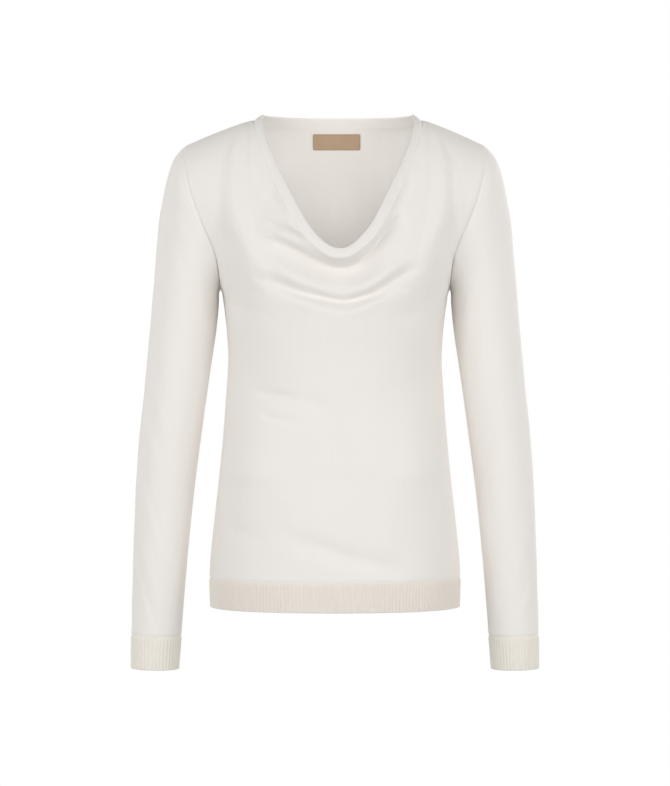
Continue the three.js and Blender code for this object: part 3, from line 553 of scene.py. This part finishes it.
def knit_material(name, light, dark, groove_shade):
    """Matte knit whose tone moves between two colours, with painted shade between its stitches and the
    stitches as a fine bump.
    """
    material, tree, shader = new_material(name, KNIT_SURFACE)
    pattern = tree.nodes.new("ShaderNodeUVMap")
    pattern.uv_map = "cloth"
    stitches = tree.nodes.new("ShaderNodeGroup")
    stitches.node_tree = STITCHES
    stitches.inputs["Wale"].default_value = JERSEY_WALE
    stitches.inputs["Course"].default_value = JERSEY_COURSE
    tree.links.new(pattern.outputs["UV"], stitches.inputs["Pattern"])
    shade = tree.nodes.new("ShaderNodeGroup")
    shade.node_tree = TONE_AND_GROOVE_SHADE
    shade.inputs["Groove Shade"].default_value = groove_shade
    tree.links.new(pattern.outputs["UV"], shade.inputs["Pattern"])
    # The stitch grooves set how much painted shade goes into the base colour.
    tree.links.new(stitches.outputs["Groove"], shade.inputs["Groove"])
    tree.links.new(mixed(tree, shade.outputs["Shade"], light, dark), shader.inputs["Base Color"])
    add_bump(tree, shader, stitches.outputs["Height"], STITCH_DEPTH)
    return material


JERSEY = knit_material("cream jersey", JERSEY_COLOUR, JERSEY_SHADE, JERSEY_GROOVE_SHADE)


def finish_piece(piece, node, material):
    """A piece with its material, on the only body, in place of its solid."""
    piece.data.materials.append(material)
    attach(piece, "root")
    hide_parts(node)


front = sewn_panel("front_panel", FRONT, FRONT_MESH)
finish_piece(front, "front", JERSEY)

# Back panel
# One piece of the same jersey, almost level at the neck, with the shaping of the shoulder blades and the
# small of the back worn into it. Slack lies in soft rolls across the waist, and it hangs from the shoulders.
NECK_BACK = table(
    "half drop out seam_half seam_drop seam_out",
    (0.000, 0.0006, 0.0440, 0.000, 0.0120, 0.0540),
    (0.033, 0.0006, 0.0415, 0.036, 0.0120, 0.0515),
    (0.060, 0.0005, 0.0345, 0.066, 0.0116, 0.0435),
    (0.079, 0.0004, 0.0228, 0.088, 0.0104, 0.0290),
    (0.088, 0.0002, 0.0110, 0.098, 0.0086, 0.0130),
    (0.090, 0.0000, 0.0000, 0.100, 0.0075, 0.0000),
)
BACK_FOLDS = table(
    FOLD_COLUMNS,
    (-0.006, 0.2860, -0.0044, 0.0130, 0.0080, 0.100, 0.026, 1.6, 1.0, 0.106, 0.018, 1.8, 1.0),
    (0.012, 0.3180, -0.0034, 0.0110, 0.0070, 0.108, 0.020, 1.8, 1.0, 0.088, 0.028, 1.5, 1.0),
    (0.000, 0.3020, 0.0020, 0.0080, 0.0080, 0.090, 0.022, 1.7, 1.0, 0.090, 0.024, 1.6, 1.0),
    (-0.066, 0.2160, -0.0020, 0.0120, 0.0120, 0.050, -0.018, 1.3, 1.0, 0.034, 0.006, 1.5, 1.0),
    (0.074, 0.1820, -0.0022, 0.0120, 0.0110, 0.034, 0.012, 1.5, 1.0, 0.060, -0.034, 1.3, 1.0),
)
BACK_STROKES = table(
    STROKE_COLUMNS,
    (0.154, 0.1060, 0.100, 0.1700, 0.0040, -0.0024, 0.0090, 0.0060, 1.8),
    (-0.156, 0.1120, -0.098, 0.1820, 0.0030, -0.0022, 0.0100, 0.0060, 1.8),
    (0.130, 0.2180, 0.044, 0.2620, 0.0060, -0.0024, 0.0100, 0.0060, 1.8),
    (-0.128, 0.2120, -0.058, 0.2680, 0.0060, -0.0024, 0.0110, 0.0060, 1.8),
    (-0.126, 0.2480, -0.070, 0.2860, 0.0040, -0.0016, 0.0080, 0.0050, 1.8),
    (0.124, 0.3400, 0.024, 0.3680, 0.0080, -0.0022, 0.0090, 0.0060, 1.8),
    (-0.124, 0.3480, -0.034, 0.3640, 0.0080, -0.0018, 0.0080, 0.0060, 1.8),
    (-0.136, 0.4760, -0.050, 0.5080, 0.0040, -0.0018, 0.0100, 0.0080, 2.0),
    (0.072, 0.5020, 0.138, 0.4660, 0.0040, -0.0016, 0.0100, 0.0080, 2.0),
    (-0.060, 0.0400, -0.104, 0.0900, 0.0030, -0.0014, 0.0080, 0.0080, 2.0),
    (0.064, 0.0400, 0.106, 0.0940, 0.0030, -0.0014, 0.0080, 0.0080, 2.0),
)
BACK = {
    "facing": 1, "depth": "back", "neck": NECK_BACK, "folds": BACK_FOLDS, "strokes": BACK_STROKES, "seed": 12,
    "bulge": (0.012, 0.046, 1.2), "sag": 0.014, "armhole": 0.058, "lean_drops": (0.090, 0.045),
}
BACK_MESH = {"columns": 116, "lower_rows": 96, "upper_rows": 90}

back = sewn_panel("back_panel", BACK, BACK_MESH)
finish_piece(back, "back", JERSEY)

# Sleeves
# Each is one piece of jersey with a shaped head, linked into a tube along the underarm and set into the
# armhole. It narrows to the wrist and hangs straight, with a little slack at the elbow.
SLEEVE = table(
    "out_half out_drop in_half in_drop front back",
    (0.1810, 0.03983, 0.1369, 0.2110, 0.0560, 0.0580),
    (0.1925, 0.0535, 0.1390, 0.2135, 0.0550, 0.0575),
    (0.2000, 0.0740, 0.1394, 0.2175, 0.0535, 0.0560),
    (0.2060, 0.1020, 0.1393, 0.2220, 0.0520, 0.0545),
    (0.2108, 0.1300, 0.1394, 0.2280, 0.0505, 0.0525),
    (0.2150, 0.1770, 0.1407, 0.2440, 0.0490, 0.0500),
    (0.2190, 0.2240, 0.1434, 0.2670, 0.0475, 0.0480),
    (0.2235, 0.2770, 0.1480, 0.2980, 0.0455, 0.0465),
    (0.2294, 0.3400, 0.1550, 0.3470, 0.0430, 0.0450),
    (0.2350, 0.3920, 0.1616, 0.3960, 0.0405, 0.0425),
    (0.2386, 0.4460, 0.1684, 0.4490, 0.0375, 0.0390),
    (0.2410, 0.5080, 0.1748, 0.5100, 0.0340, 0.0350),
    (0.2429, 0.5680, 0.1800, 0.5690, 0.0310, 0.0315),
    (0.2443, 0.6245, 0.1844, 0.6255, 0.0290, 0.0290),
    (0.2446, 0.6645, 0.1874, 0.6655, 0.0280, 0.0280),
)
CUFF_TOP_ROW = len(SLEEVE["front"]) - 2
ARMHOLE_FADE = 4
SLEEVE_CROWD = 0.9
SLEEVE_MESH = {"columns": 104, "rows": 190, "edge_crowd": 0.35, "next_step": 1.6}
SLEEVE_WAVES = {"length": 0.06, "height": 0.00022}
UNDERARM_SEAM = {"dip": 0.0005, "width": 0.0012}
CLEAR_OF_UNDERARM = (0.002, 0.02)
# Strokes round the arm: the width is measured round the sleeve from the middle of its front towards the
# body, and the drop down the arm from the armhole's seam.
SLEEVE_STROKES = table(
    STROKE_COLUMNS,
    (0.085, 0.0120, 0.030, 0.0520, 0.0030, -0.0013, 0.0070, 0.0060, 2.0),
    (0.090, 0.0420, 0.040, 0.0860, 0.0040, -0.0010, 0.0080, 0.0070, 2.0),
    (0.070, 0.2300, 0.010, 0.2480, 0.0050, -0.0009, 0.0090, 0.0070, 2.0),
    (0.064, 0.2620, 0.000, 0.2700, 0.0050, -0.0008, 0.0080, 0.0080, 2.0),
    (-0.060, 0.3600, 0.020, 0.3840, 0.0040, -0.0006, 0.0120, 0.0100, 2.0),
    (-0.050, 0.4800, 0.030, 0.4960, 0.0030, -0.0006, 0.0090, 0.0080, 2.0),
)


def sleeve_ring(row, turn):
    """A ring of the sleeve: turn 0 is the outer arm, and a half turn later the inner arm."""
    across = (1 + np.cos(turn)) / 2
    half = lerp(read(SLEEVE, "in_half", row), read(SLEEVE, "out_half", row), across)
    drop = lerp(read(SLEEVE, "in_drop", row), read(SLEEVE, "out_drop", row), across)
    depth = np.where(np.sin(turn) > 0, read(SLEEVE, "front", row), read(SLEEVE, "back", row))
    return np.stack([half, -depth * np.sin(turn), -drop], axis=-1)


def sleeve_points(row, turn):
    """The first ring is the armhole's seam itself, and the next ones lose its sideways bend bit by bit."""
    points = sleeve_ring(row, turn)
    seam = sleeve_ring(np.zeros_like(row), turn)
    bend = read(ARMHOLE, "half", -seam[..., 2], "drop") - seam[..., 0]
    points[..., 0] += bend * (1 - ease(0, ARMHOLE_FADE, row))
    return points


def round_distance(points):
    """Lengths round each row of a tube from its first column, with the repeated column at the end."""
    closed = np.concatenate([points, points[:, :1]], axis=1)
    return np.pad(np.cumsum(np.linalg.norm(np.diff(closed, axis=1), axis=-1), axis=1), ((0, 0), (1, 0)))


def mirrored(points):
    """The same tube on the other side, with its columns the other way so that it still faces out."""
    flipped = points * np.array([-1, 1, 1])
    return np.concatenate([flipped[:, :1], flipped[:, :0:-1]], axis=1)


def sleeve(name, node, mirror, seed):
    edge = EDGE_STEPS * SLEEVE_MESH["edge_crowd"]
    first = edge[-1] * SLEEVE_MESH["next_step"]
    share = np.concatenate([edge, np.linspace(first, 1 - first, SLEEVE_MESH["rows"]), (1 - edge)[::-1]])
    turns = np.arange(SLEEVE_MESH["columns"]) / SLEEVE_MESH["columns"] * 2 * np.pi
    turn, row = np.meshgrid(turns, CUFF_TOP_ROW * share**SLEEVE_CROWD)
    points = sleeve_points(row, turn)
    _, _, down, up = distances(points)
    round_way = round_distance(points)
    girth = round_way[:, -1:]
    from_front = round_way[:, :-1] - girth / 4
    from_underarm = np.abs(round_way[:, :-1] - girth / 2)
    lift = stroke_lift(SLEEVE_STROKES, from_front, down) + soft_waves(from_front, down, seed, **SLEEVE_WAVES)
    lift *= ease(*CLEAR_OF_ENDS, np.minimum(down, up)) * ease(*CLEAR_OF_UNDERARM, from_underarm)
    lift += seam_relief(down) + seam_relief(up)
    lift -= UNDERARM_SEAM["dip"] * np.exp(-((from_underarm / UNDERARM_SEAM["width"]) ** 2))
    outer = points + normals_of(points, tube=True) * lift[..., None]
    inner = outer - normals_of(outer, tube=True) * JERSEY_WALL
    if mirror:
        outer, inner = mirrored(outer), mirrored(inner)
    pattern = np.stack([round_distance(outer), np.pad(down, ((0, 0), (0, 1)), mode="wrap")], axis=-1)
    piece = cloth_shell(name, outer, inner, pattern, tube=True)
    finish_piece(piece, node, JERSEY)


sleeve("sleeve_left_arm", "sleeve_left", False, 21)
sleeve("sleeve_right_arm", "sleeve_right", True, 22)

# Hem
# Two bands of fine ribbing, front and back, knitted on below the panels and joined at the side seams. The
# band is drawn in a little by its ribs, and its lower edge is a soft fold.
RIB_RISE = 0.0005
RIB_ROUNDNESS = 0.75
RIB_INSIDE = 0.3  # the share of the ribs' height that also shows on the inner face
RIB_FADE = 0.003  # the ribs rise over this distance from a seam
HEM_RIBS = 100
HEM_WANDER = {"length": 0.05, "height": 0.05}
COLUMNS_FOR_RIB = 8
FOLD_TURNS = np.radians([80, 60, 40, 20])
HEM_ROWS = 16
RIB_COLOUR = (0.835, 0.785, 0.725)
# The darker colour of the ribbing serves its random tone and the painted shade between its stitches.
RIB_SHADE = (0.760, 0.695, 0.620)
# How much painted shade, in the darker colour, lies between the stitches of the ribbing.
RIB_GROOVE_SHADE = 0.25

RIBBING = knit_material("cream rib", RIB_COLOUR, RIB_SHADE, RIB_GROOVE_SHADE)


def rib_relief(count, shares, wander, rib, ends):
    """Outward lifts of a band's outer face, with rounded ribs, and of its inner face, with lower ones."""
    wave = 0.5 - 0.5 * np.cos(2 * np.pi * (shares[None, :] * count + wander))
    full = RIB_RISE * rib[:, None]
    ribs = full * wave**RIB_ROUNDNESS
    return ribs * ends, RIB_INSIDE * (full - ribs) * ends


def ribbed_rows(height, rows):
    """Heights above the lower edge, insets from the outer face and the share of rib, up a folded band."""
    round_off = JERSEY_WALL / 2
    fold = [
        (round_off * (1 - math.sin(turn)), round_off * (1 - math.cos(turn)), math.cos(turn))
        for turn in FOLD_TURNS
    ]
    straight = [(rise, 0, 1) for rise in np.linspace(round_off, height, rows)]
    return np.array(fold + straight).T


def hem_half(name, node, side, seed):
    shares = np.linspace(0, 1, HEM_RIBS * COLUMNS_FOR_RIB + 1)
    rise, inset, rib = ribbed_rows(HEM_HEIGHT, HEM_ROWS)
    u = lerp(-1, 1, shares) * -side["facing"]
    half, out = body_at(side, np.abs(u)[None, :], (HEM_DROP - rise)[:, None])
    height = np.repeat((rise - HEM_DROP)[:, None], len(u), axis=1)
    points = np.stack([np.sign(u) * half, side["facing"] * out, height], axis=-1)
    along = np.gradient(points, axis=1)
    away = unit(np.stack([along[..., 1], -along[..., 0], np.zeros_like(height)], axis=-1))
    left, right, bottom, top = distances(points)
    wander = soft_waves(left, bottom, seed, **HEM_WANDER)
    ends = ease(0, RIB_FADE, np.minimum(np.minimum(left, right), top))
    ribs, valleys = rib_relief(HEM_RIBS, shares, wander, rib, ends)
    lift = ribs + seam_relief(top) + seam_relief(left) + seam_relief(right) - inset[:, None]
    outer = points + away * lift[..., None]
    inner = points + away * (valleys + seam_relief(top) - JERSEY_WALL + inset[:, None])[..., None]
    piece = cloth_shell(name, outer, inner, np.stack([left, bottom], axis=-1))
    finish_piece(piece, node, RIBBING)


hem_half("hem_front", "hem_rib_front", FRONT, 31)
hem_half("hem_back", "hem_rib_back", BACK, 32)

# Cuffs
# A tube of the same ribbing on each sleeve, a touch lighter than the hem's. It is knitted on below the
# sleeve, draws in at the wrist, and ends in a soft fold.
CUFF_RIBS = 44
CUFF_ROWS = 20
CUFF_WANDER = {"height": 0.04, "waves": 3}
CUFF_COLOUR = (0.860, 0.820, 0.745)
# The darker colour of the cuffs serves their random tone and the painted shade between their stitches.
CUFF_SHADE = (0.800, 0.750, 0.665)

CUFF_RIBBING = knit_material("cream cuff rib", CUFF_COLOUR, CUFF_SHADE, RIB_GROOVE_SHADE)


def cuff(name, node, mirror, phase):
    shares = np.arange(CUFF_RIBS * COLUMNS_FOR_RIB) / (CUFF_RIBS * COLUMNS_FOR_RIB)
    turn = shares * 2 * np.pi
    top_ring = sleeve_ring(np.full_like(turn, CUFF_TOP_ROW), turn)
    low_ring = sleeve_ring(np.full_like(turn, CUFF_TOP_ROW + 1), turn)
    length = float(np.linalg.norm(top_ring - low_ring, axis=-1).mean())
    rise, inset, rib = ribbed_rows(length, CUFF_ROWS)
    points = low_ring[None] + (top_ring - low_ring)[None] * (rise / length)[:, None, None]
    axis = unit((low_ring - top_ring).mean(axis=0))
    ahead = np.roll(points, -1, axis=1) - np.roll(points, 1, axis=1)
    away = unit(np.cross(ahead, axis))
    round_way = round_distance(points)
    _, _, bottom, top = distances(points)
    wander = CUFF_WANDER["height"] * np.sin(CUFF_WANDER["waves"] * turn + phase)[None, :]
    ribs, valleys = rib_relief(CUFF_RIBS, shares, wander, rib, ease(0, RIB_FADE, top))
    outer = points + away * (ribs + seam_relief(top) - inset[:, None])[..., None]
    inner = points + away * (valleys + seam_relief(top) - JERSEY_WALL + inset[:, None])[..., None]
    # Rows run up the arm here, and down it in the sleeve, so the columns are turned round to face out.
    outer, inner = (np.concatenate([grid[:, :1], grid[:, :0:-1]], axis=1) for grid in (outer, inner))
    if mirror:
        outer, inner = mirrored(outer), mirrored(inner)
    pattern = np.stack([round_way, np.pad(bottom, ((0, 0), (0, 1)), mode="wrap")], axis=-1)
    piece = cloth_shell(name, outer, inner, pattern, tube=True)
    finish_piece(piece, node, CUFF_RIBBING)


cuff("cuff_left_wrist", "cuff_left", False, 0.4)
cuff("cuff_right_wrist", "cuff_right", True, 2.1)

# Neck band
# A narrow strip of jersey folded double over the neck's edge and linked down on both faces, in a front and
# a back length that meet at the shoulder seams. Its fold is full and round.
BAND_WALL = {"front": 0.0022, "back": 0.0015}
BAND_MESH = {"front": 300, "back": 120, "face_rows": 14}
BAND_PUFF = 0.0004
BAND_WAVES = {"seed": 41, "length": 0.03, "height": 0.00012}


def band_points(side, u, t):
    """The band's outer face: t runs from its seam with the panel up to its free edge."""
    at = np.abs(u) / NECK_SHARE * (len(side["neck"]["half"]) - 1)
    value = {name: read(side["neck"], name, at) for name in side["neck"]}
    lip = lip_lift(value["seam_drop"], 0) * lerp(1, LIP["edge_share"], t) if side["facing"] < 0 else 0
    across = np.sign(u) * lerp(value["seam_half"], value["half"], t)
    drop = lerp(value["seam_drop"], value["drop"], t)
    return placed(side, u, across, drop, lerp(value["seam_out"], value["out"], t), lip)


def neck_band(name, node, side, columns, wall):
    u = np.linspace(-NECK_SHARE, NECK_SHARE, columns) * -side["facing"]
    width = np.linalg.norm(band_points(side, u, 1.0) - band_points(side, u, 0.0), axis=-1)
    round_off = wall / 2
    turns = np.concatenate([np.zeros(BAND_MESH["face_rows"]), FOLD_TURNS[::-1]])
    face = np.concatenate([np.linspace(0, 1, BAND_MESH["face_rows"]), np.ones(len(FOLD_TURNS))])
    share = face[:, None] * (1 - round_off / width) + np.sin(turns)[:, None] * round_off / width
    points = band_points(side, np.broadcast_to(u, share.shape), share)
    normals = normals_of(points)
    left, right, bottom, _ = distances(points)
    puff = BAND_PUFF * np.sin(np.pi * face)[:, None]
    lift = puff + seam_relief(bottom) + seam_relief(left) + seam_relief(right)
    lift += soft_waves(left, bottom, **BAND_WAVES) * face[:, None]
    inset = (round_off * (1 - np.cos(turns)))[:, None]
    outer = points + normals * (lift - inset)[..., None]
    inner = points - normals * (wall - inset)[..., None]
    piece = cloth_shell(name, outer, inner, np.stack([left, bottom], axis=-1))
    finish_piece(piece, node, JERSEY)


neck_band("band_front", "neck_band_front", FRONT, BAND_MESH["front"], BAND_WALL["front"])
neck_band("band_back", "neck_band_back", BACK, BAND_MESH["back"], BAND_WALL["back"])

# Neck label
# A small tan woven tape, sewn flat inside the back of the neck. Its ends are turned under, and its corners
# are a little rounded.
LABEL = {"at": 0.002, "half": 0.029, "top_drop": 0.0184, "bottom_drop": 0.037, "wall": 0.001, "away": 0.00035}
LABEL_CORNER = {"size": 0.0016, "draw_in": 0.3}
LABEL_ROUND_EDGE = 0.00045
LABEL_SELVEDGE = 0.0012
LABEL_MESH = (60, 22)
LABEL_COLOUR = (0.470, 0.335, 0.222)
LABEL_SHADE = (0.400, 0.275, 0.174)
LABEL_SURFACE = {"Roughness": 0.62, "Specular IOR Level": 0.35}
LABEL_THREADS = {"across": 0.00040, "along": 0.00028, "depth": 0.00003}
LABEL_WEAVE = {"weft": 0.3, "warp": 0.15, "level": 0.5}
LABEL_TONE = {"clouds": 0.6, "offset": 0.1, "selvedge": 0.25}
INSIDE_NECK = -0.02  # a place in front of the back panel, from which its inner face is sought


def label_tape():
    """The tape's wall, laid on the back panel's inner face."""
    depsgraph = bpy.context.evaluated_depsgraph_get()
    cloth = BVHTree.FromObject(back, depsgraph)
    columns, rows = LABEL_MESH
    height = (LABEL["bottom_drop"] - LABEL["top_drop"]) / 2
    middle_drop = (LABEL["bottom_drop"] + LABEL["top_drop"]) / 2
    along, upward = np.meshgrid(np.linspace(-1, 1, columns), np.linspace(-1, 1, rows))
    # Rounded corners: the ends draw in towards the top and the bottom, and the other way round.
    corner = LABEL_CORNER["size"]
    draw_in = corner * LABEL_CORNER["draw_in"]
    near_end = np.clip((np.abs(along) * LABEL["half"] - (LABEL["half"] - corner)) / corner, 0, 1)
    near_side = np.clip((np.abs(upward) * height - (height - corner)) / corner, 0, 1)
    x = LABEL["at"] - np.sign(along) * (np.abs(along) * LABEL["half"] - draw_in * near_side**2)
    z = -middle_drop + np.sign(upward) * (np.abs(upward) * height - draw_in * near_end**2)
    surface = np.zeros((rows, columns, 3))
    inwards = np.zeros((rows, columns, 3))
    for index in np.ndindex(rows, columns):
        hit, normal, _, _ = cloth.ray_cast(Vector((x[index], INSIDE_NECK, z[index])), Vector((0, 1, 0)))
        surface[index], inwards[index] = hit, normal
    round_edge = LABEL_ROUND_EDGE * (1 - (1 - near_end**3) * (1 - near_side**3))
    face = surface + inwards * (LABEL["away"] + LABEL["wall"] - round_edge)[..., None]
    under = surface + inwards * LABEL["away"]
    pattern = np.stack([-(x - LABEL["at"]), z + middle_drop], axis=-1)
    return cloth_shell("label_tape", face[:, ::-1], under[:, ::-1], pattern[:, ::-1])


def woven_tape():
    """Satin tape: fine threads both ways, and a firm selvedge along its long edges."""
    material, tree, shader = new_material("tan tape", LABEL_SURFACE)
    pattern = tree.nodes.new("ShaderNodeUVMap")
    pattern.uv_map = "cloth"
    split = tree.nodes.new("ShaderNodeSeparateXYZ")
    tree.links.new(pattern.outputs["UV"], split.inputs[0])
    weft, warp = (
        maths(tree, "SINE", maths(tree, "MULTIPLY", split.outputs[axis], 2 * math.pi / LABEL_THREADS[way]))
        for axis, way in (("Y", "along"), ("X", "across"))
    )
    height = maths(tree, "MULTIPLY_ADD", warp, LABEL_WEAVE["warp"], LABEL_WEAVE["level"])
    height = maths(tree, "MULTIPLY_ADD", weft, LABEL_WEAVE["weft"], height)
    clouds = stretched_noise(tree, pattern.outputs["UV"], (70, 70, 1), 2.0)
    edge = (LABEL["bottom_drop"] - LABEL["top_drop"]) / 2 - LABEL_SELVEDGE
    selvedge = maths(tree, "GREATER_THAN", maths(tree, "ABSOLUTE", split.outputs["Y"]), edge)
    shade = maths(tree, "MULTIPLY_ADD", clouds, LABEL_TONE["clouds"], -LABEL_TONE["offset"])
    shade = maths(tree, "MULTIPLY_ADD", selvedge, LABEL_TONE["selvedge"], shade, clamp=True)
    tree.links.new(mixed(tree, shade, LABEL_COLOUR, LABEL_SHADE), shader.inputs["Base Color"])
    add_bump(tree, shader, height, LABEL_THREADS["depth"])
    return material


label = label_tape()
finish_piece(label, "neck_label", woven_tape())

# Studio
# A pale floor well below the garment, two tall soft boxes in front, and weaker ones beside and behind it. A
# small lamp inside the neck stands for the light that fine knit lets through. The surround looks white and
# lights most from level with the garment. The floor doesn't show from below. The camera is three metres off.
FLOOR_DROP = 1.35
FLOOR_HALF = 2.5
FLOOR_SURFACE = {
    "Base Color": (0.4, 0.4, 0.4, 1), "Roughness": 0.9, "Specular IOR Level": 0, "Emission Strength": 1,
}
# The floor glows for the camera only, so it looks pale and doesn't light the garment from below.
FLOOR_GLOW = {"unseen": (0, 0, 0), "seen": (0.9, 0.9, 0.9)}
CAMERA = {"distance": 3.0, "height": -0.3348, "frame": 0.9432, "sensor": 36}
# How bright the surround is in directions from -1, straight down, to 1, straight up.
SURROUND = ((-0.9, 0.26), (-0.1, 0.50), (0.1, 0.58), (0.5, 0.55), (1.0, 0.44))
GARMENT_MIDDLE = (0, 0, -0.3)
SOFT_BOXES = {
    "soft_box_right": {"at": (-1.8, -2.0, -0.15), "aim": GARMENT_MIDDLE, "size": (1.3, 1.6), "power": 26},
    "soft_box_left": {"at": (1.8, -2.0, -0.15), "aim": GARMENT_MIDDLE, "size": (1.3, 1.6), "power": 26},
    "side_box_right": {"at": (-2.1, 1.3, 0.1), "aim": GARMENT_MIDDLE, "size": (1.2, 1.6), "power": 10},
    "side_box_left": {"at": (2.1, 1.3, 0.1), "aim": GARMENT_MIDDLE, "size": (1.2, 1.6), "power": 10},
    "back_box": {"at": (1.3, 2.5, 0.6), "aim": GARMENT_MIDDLE, "size": (1.0, 1.2), "power": 24},
    "glow_inside": {
        "at": (0, -0.02, -0.12), "aim": (0, 0.09, -0.07), "size": (0.12, 0.12), "power": 0.056, "spread": 142,
    },
}

corner_ways = ((-1, -1), (1, -1), (1, 1), (-1, 1))
floor_corners = [(x * FLOOR_HALF, y * FLOOR_HALF, -FLOOR_DROP) for x, y in corner_ways]
floor_mesh = bpy.data.meshes.new("studio_floor")
floor_mesh.from_pydata(floor_corners, [], [(0, 1, 2, 3)])
floor = bpy.data.objects.new("studio_floor", floor_mesh)
bpy.context.scene.collection.objects.link(floor)
floor_paint, paint, painted = new_material("pale floor", FLOOR_SURFACE)
looked_at = paint.nodes.new("ShaderNodeLightPath").outputs["Is Camera Ray"]
glow = mixed(paint, looked_at, FLOOR_GLOW["unseen"], FLOOR_GLOW["seen"])
paint.links.new(glow, painted.inputs["Emission Color"])
from_below = paint.nodes.new("ShaderNodeNewGeometry").outputs["Backfacing"]
paint.links.new(maths(paint, "SUBTRACT", 1.0, from_below), painted.inputs["Alpha"])
floor_mesh.materials.append(floor_paint)

world = bpy.context.scene.world or bpy.data.worlds.new("surround")
bpy.context.scene.world = world
world.use_nodes = True
sky = world.node_tree
background = sky.nodes["Background"]
background.inputs["Color"].default_value = (1, 1, 1, 1)
direction = sky.nodes.new("ShaderNodeTexCoord")
height = sky.nodes.new("ShaderNodeSeparateXYZ")
sky.links.new(direction.outputs["Generated"], height.inputs[0])
up_or_down = maths(sky, "MULTIPLY_ADD", height.outputs["Z"], 0.5, 0.5)
dimming = sky.nodes.new("ShaderNodeValToRGB")
dimming.color_ramp.interpolation = "EASE"
while len(dimming.color_ramp.elements) < len(SURROUND):
    dimming.color_ramp.elements.new(0.5)
for stop, (rise, strength) in zip(dimming.color_ramp.elements, SURROUND):
    stop.position = rise * 0.5 + 0.5
    stop.color = (strength, strength, strength, 1)
sky.links.new(up_or_down, dimming.inputs["Fac"])
seen = sky.nodes.new("ShaderNodeLightPath")
white_or_light = sky.nodes.new("ShaderNodeMix")
white_or_light.inputs["B"].default_value = 1
sky.links.new(seen.outputs["Is Camera Ray"], white_or_light.inputs["Factor"])
sky.links.new(dimming.outputs["Color"], white_or_light.inputs["A"])
sky.links.new(white_or_light.outputs["Result"], background.inputs["Strength"])

for name, box in SOFT_BOXES.items():
    box_data = bpy.data.lights.new(name, "AREA")
    box_data.shape = "RECTANGLE"
    box_data.size, box_data.size_y = box["size"]
    box_data.energy = box["power"]
    box_data.spread = math.radians(box.get("spread", 180))
    soft_box = bpy.data.objects.new(name, box_data)
    soft_box.location = box["at"]
    soft_box.rotation_euler = (Vector(box["aim"]) - soft_box.location).to_track_quat("-Z", "Y").to_euler()
    soft_box.visible_camera = False
    bpy.context.scene.collection.objects.link(soft_box)

camera_data = bpy.data.cameras.new("camera")
camera_data.sensor_width = CAMERA["sensor"]
camera_data.lens = CAMERA["sensor"] * CAMERA["distance"] / CAMERA["frame"]
camera = bpy.data.objects.new("camera", camera_data)
camera.location = (0, -CAMERA["distance"], CAMERA["height"])
camera.rotation_euler = (math.pi / 2, 0, 0)
bpy.context.scene.collection.objects.link(camera)
bpy.context.scene.camera = camera
bpy.context.scene.view_settings.view_transform = "Standard"
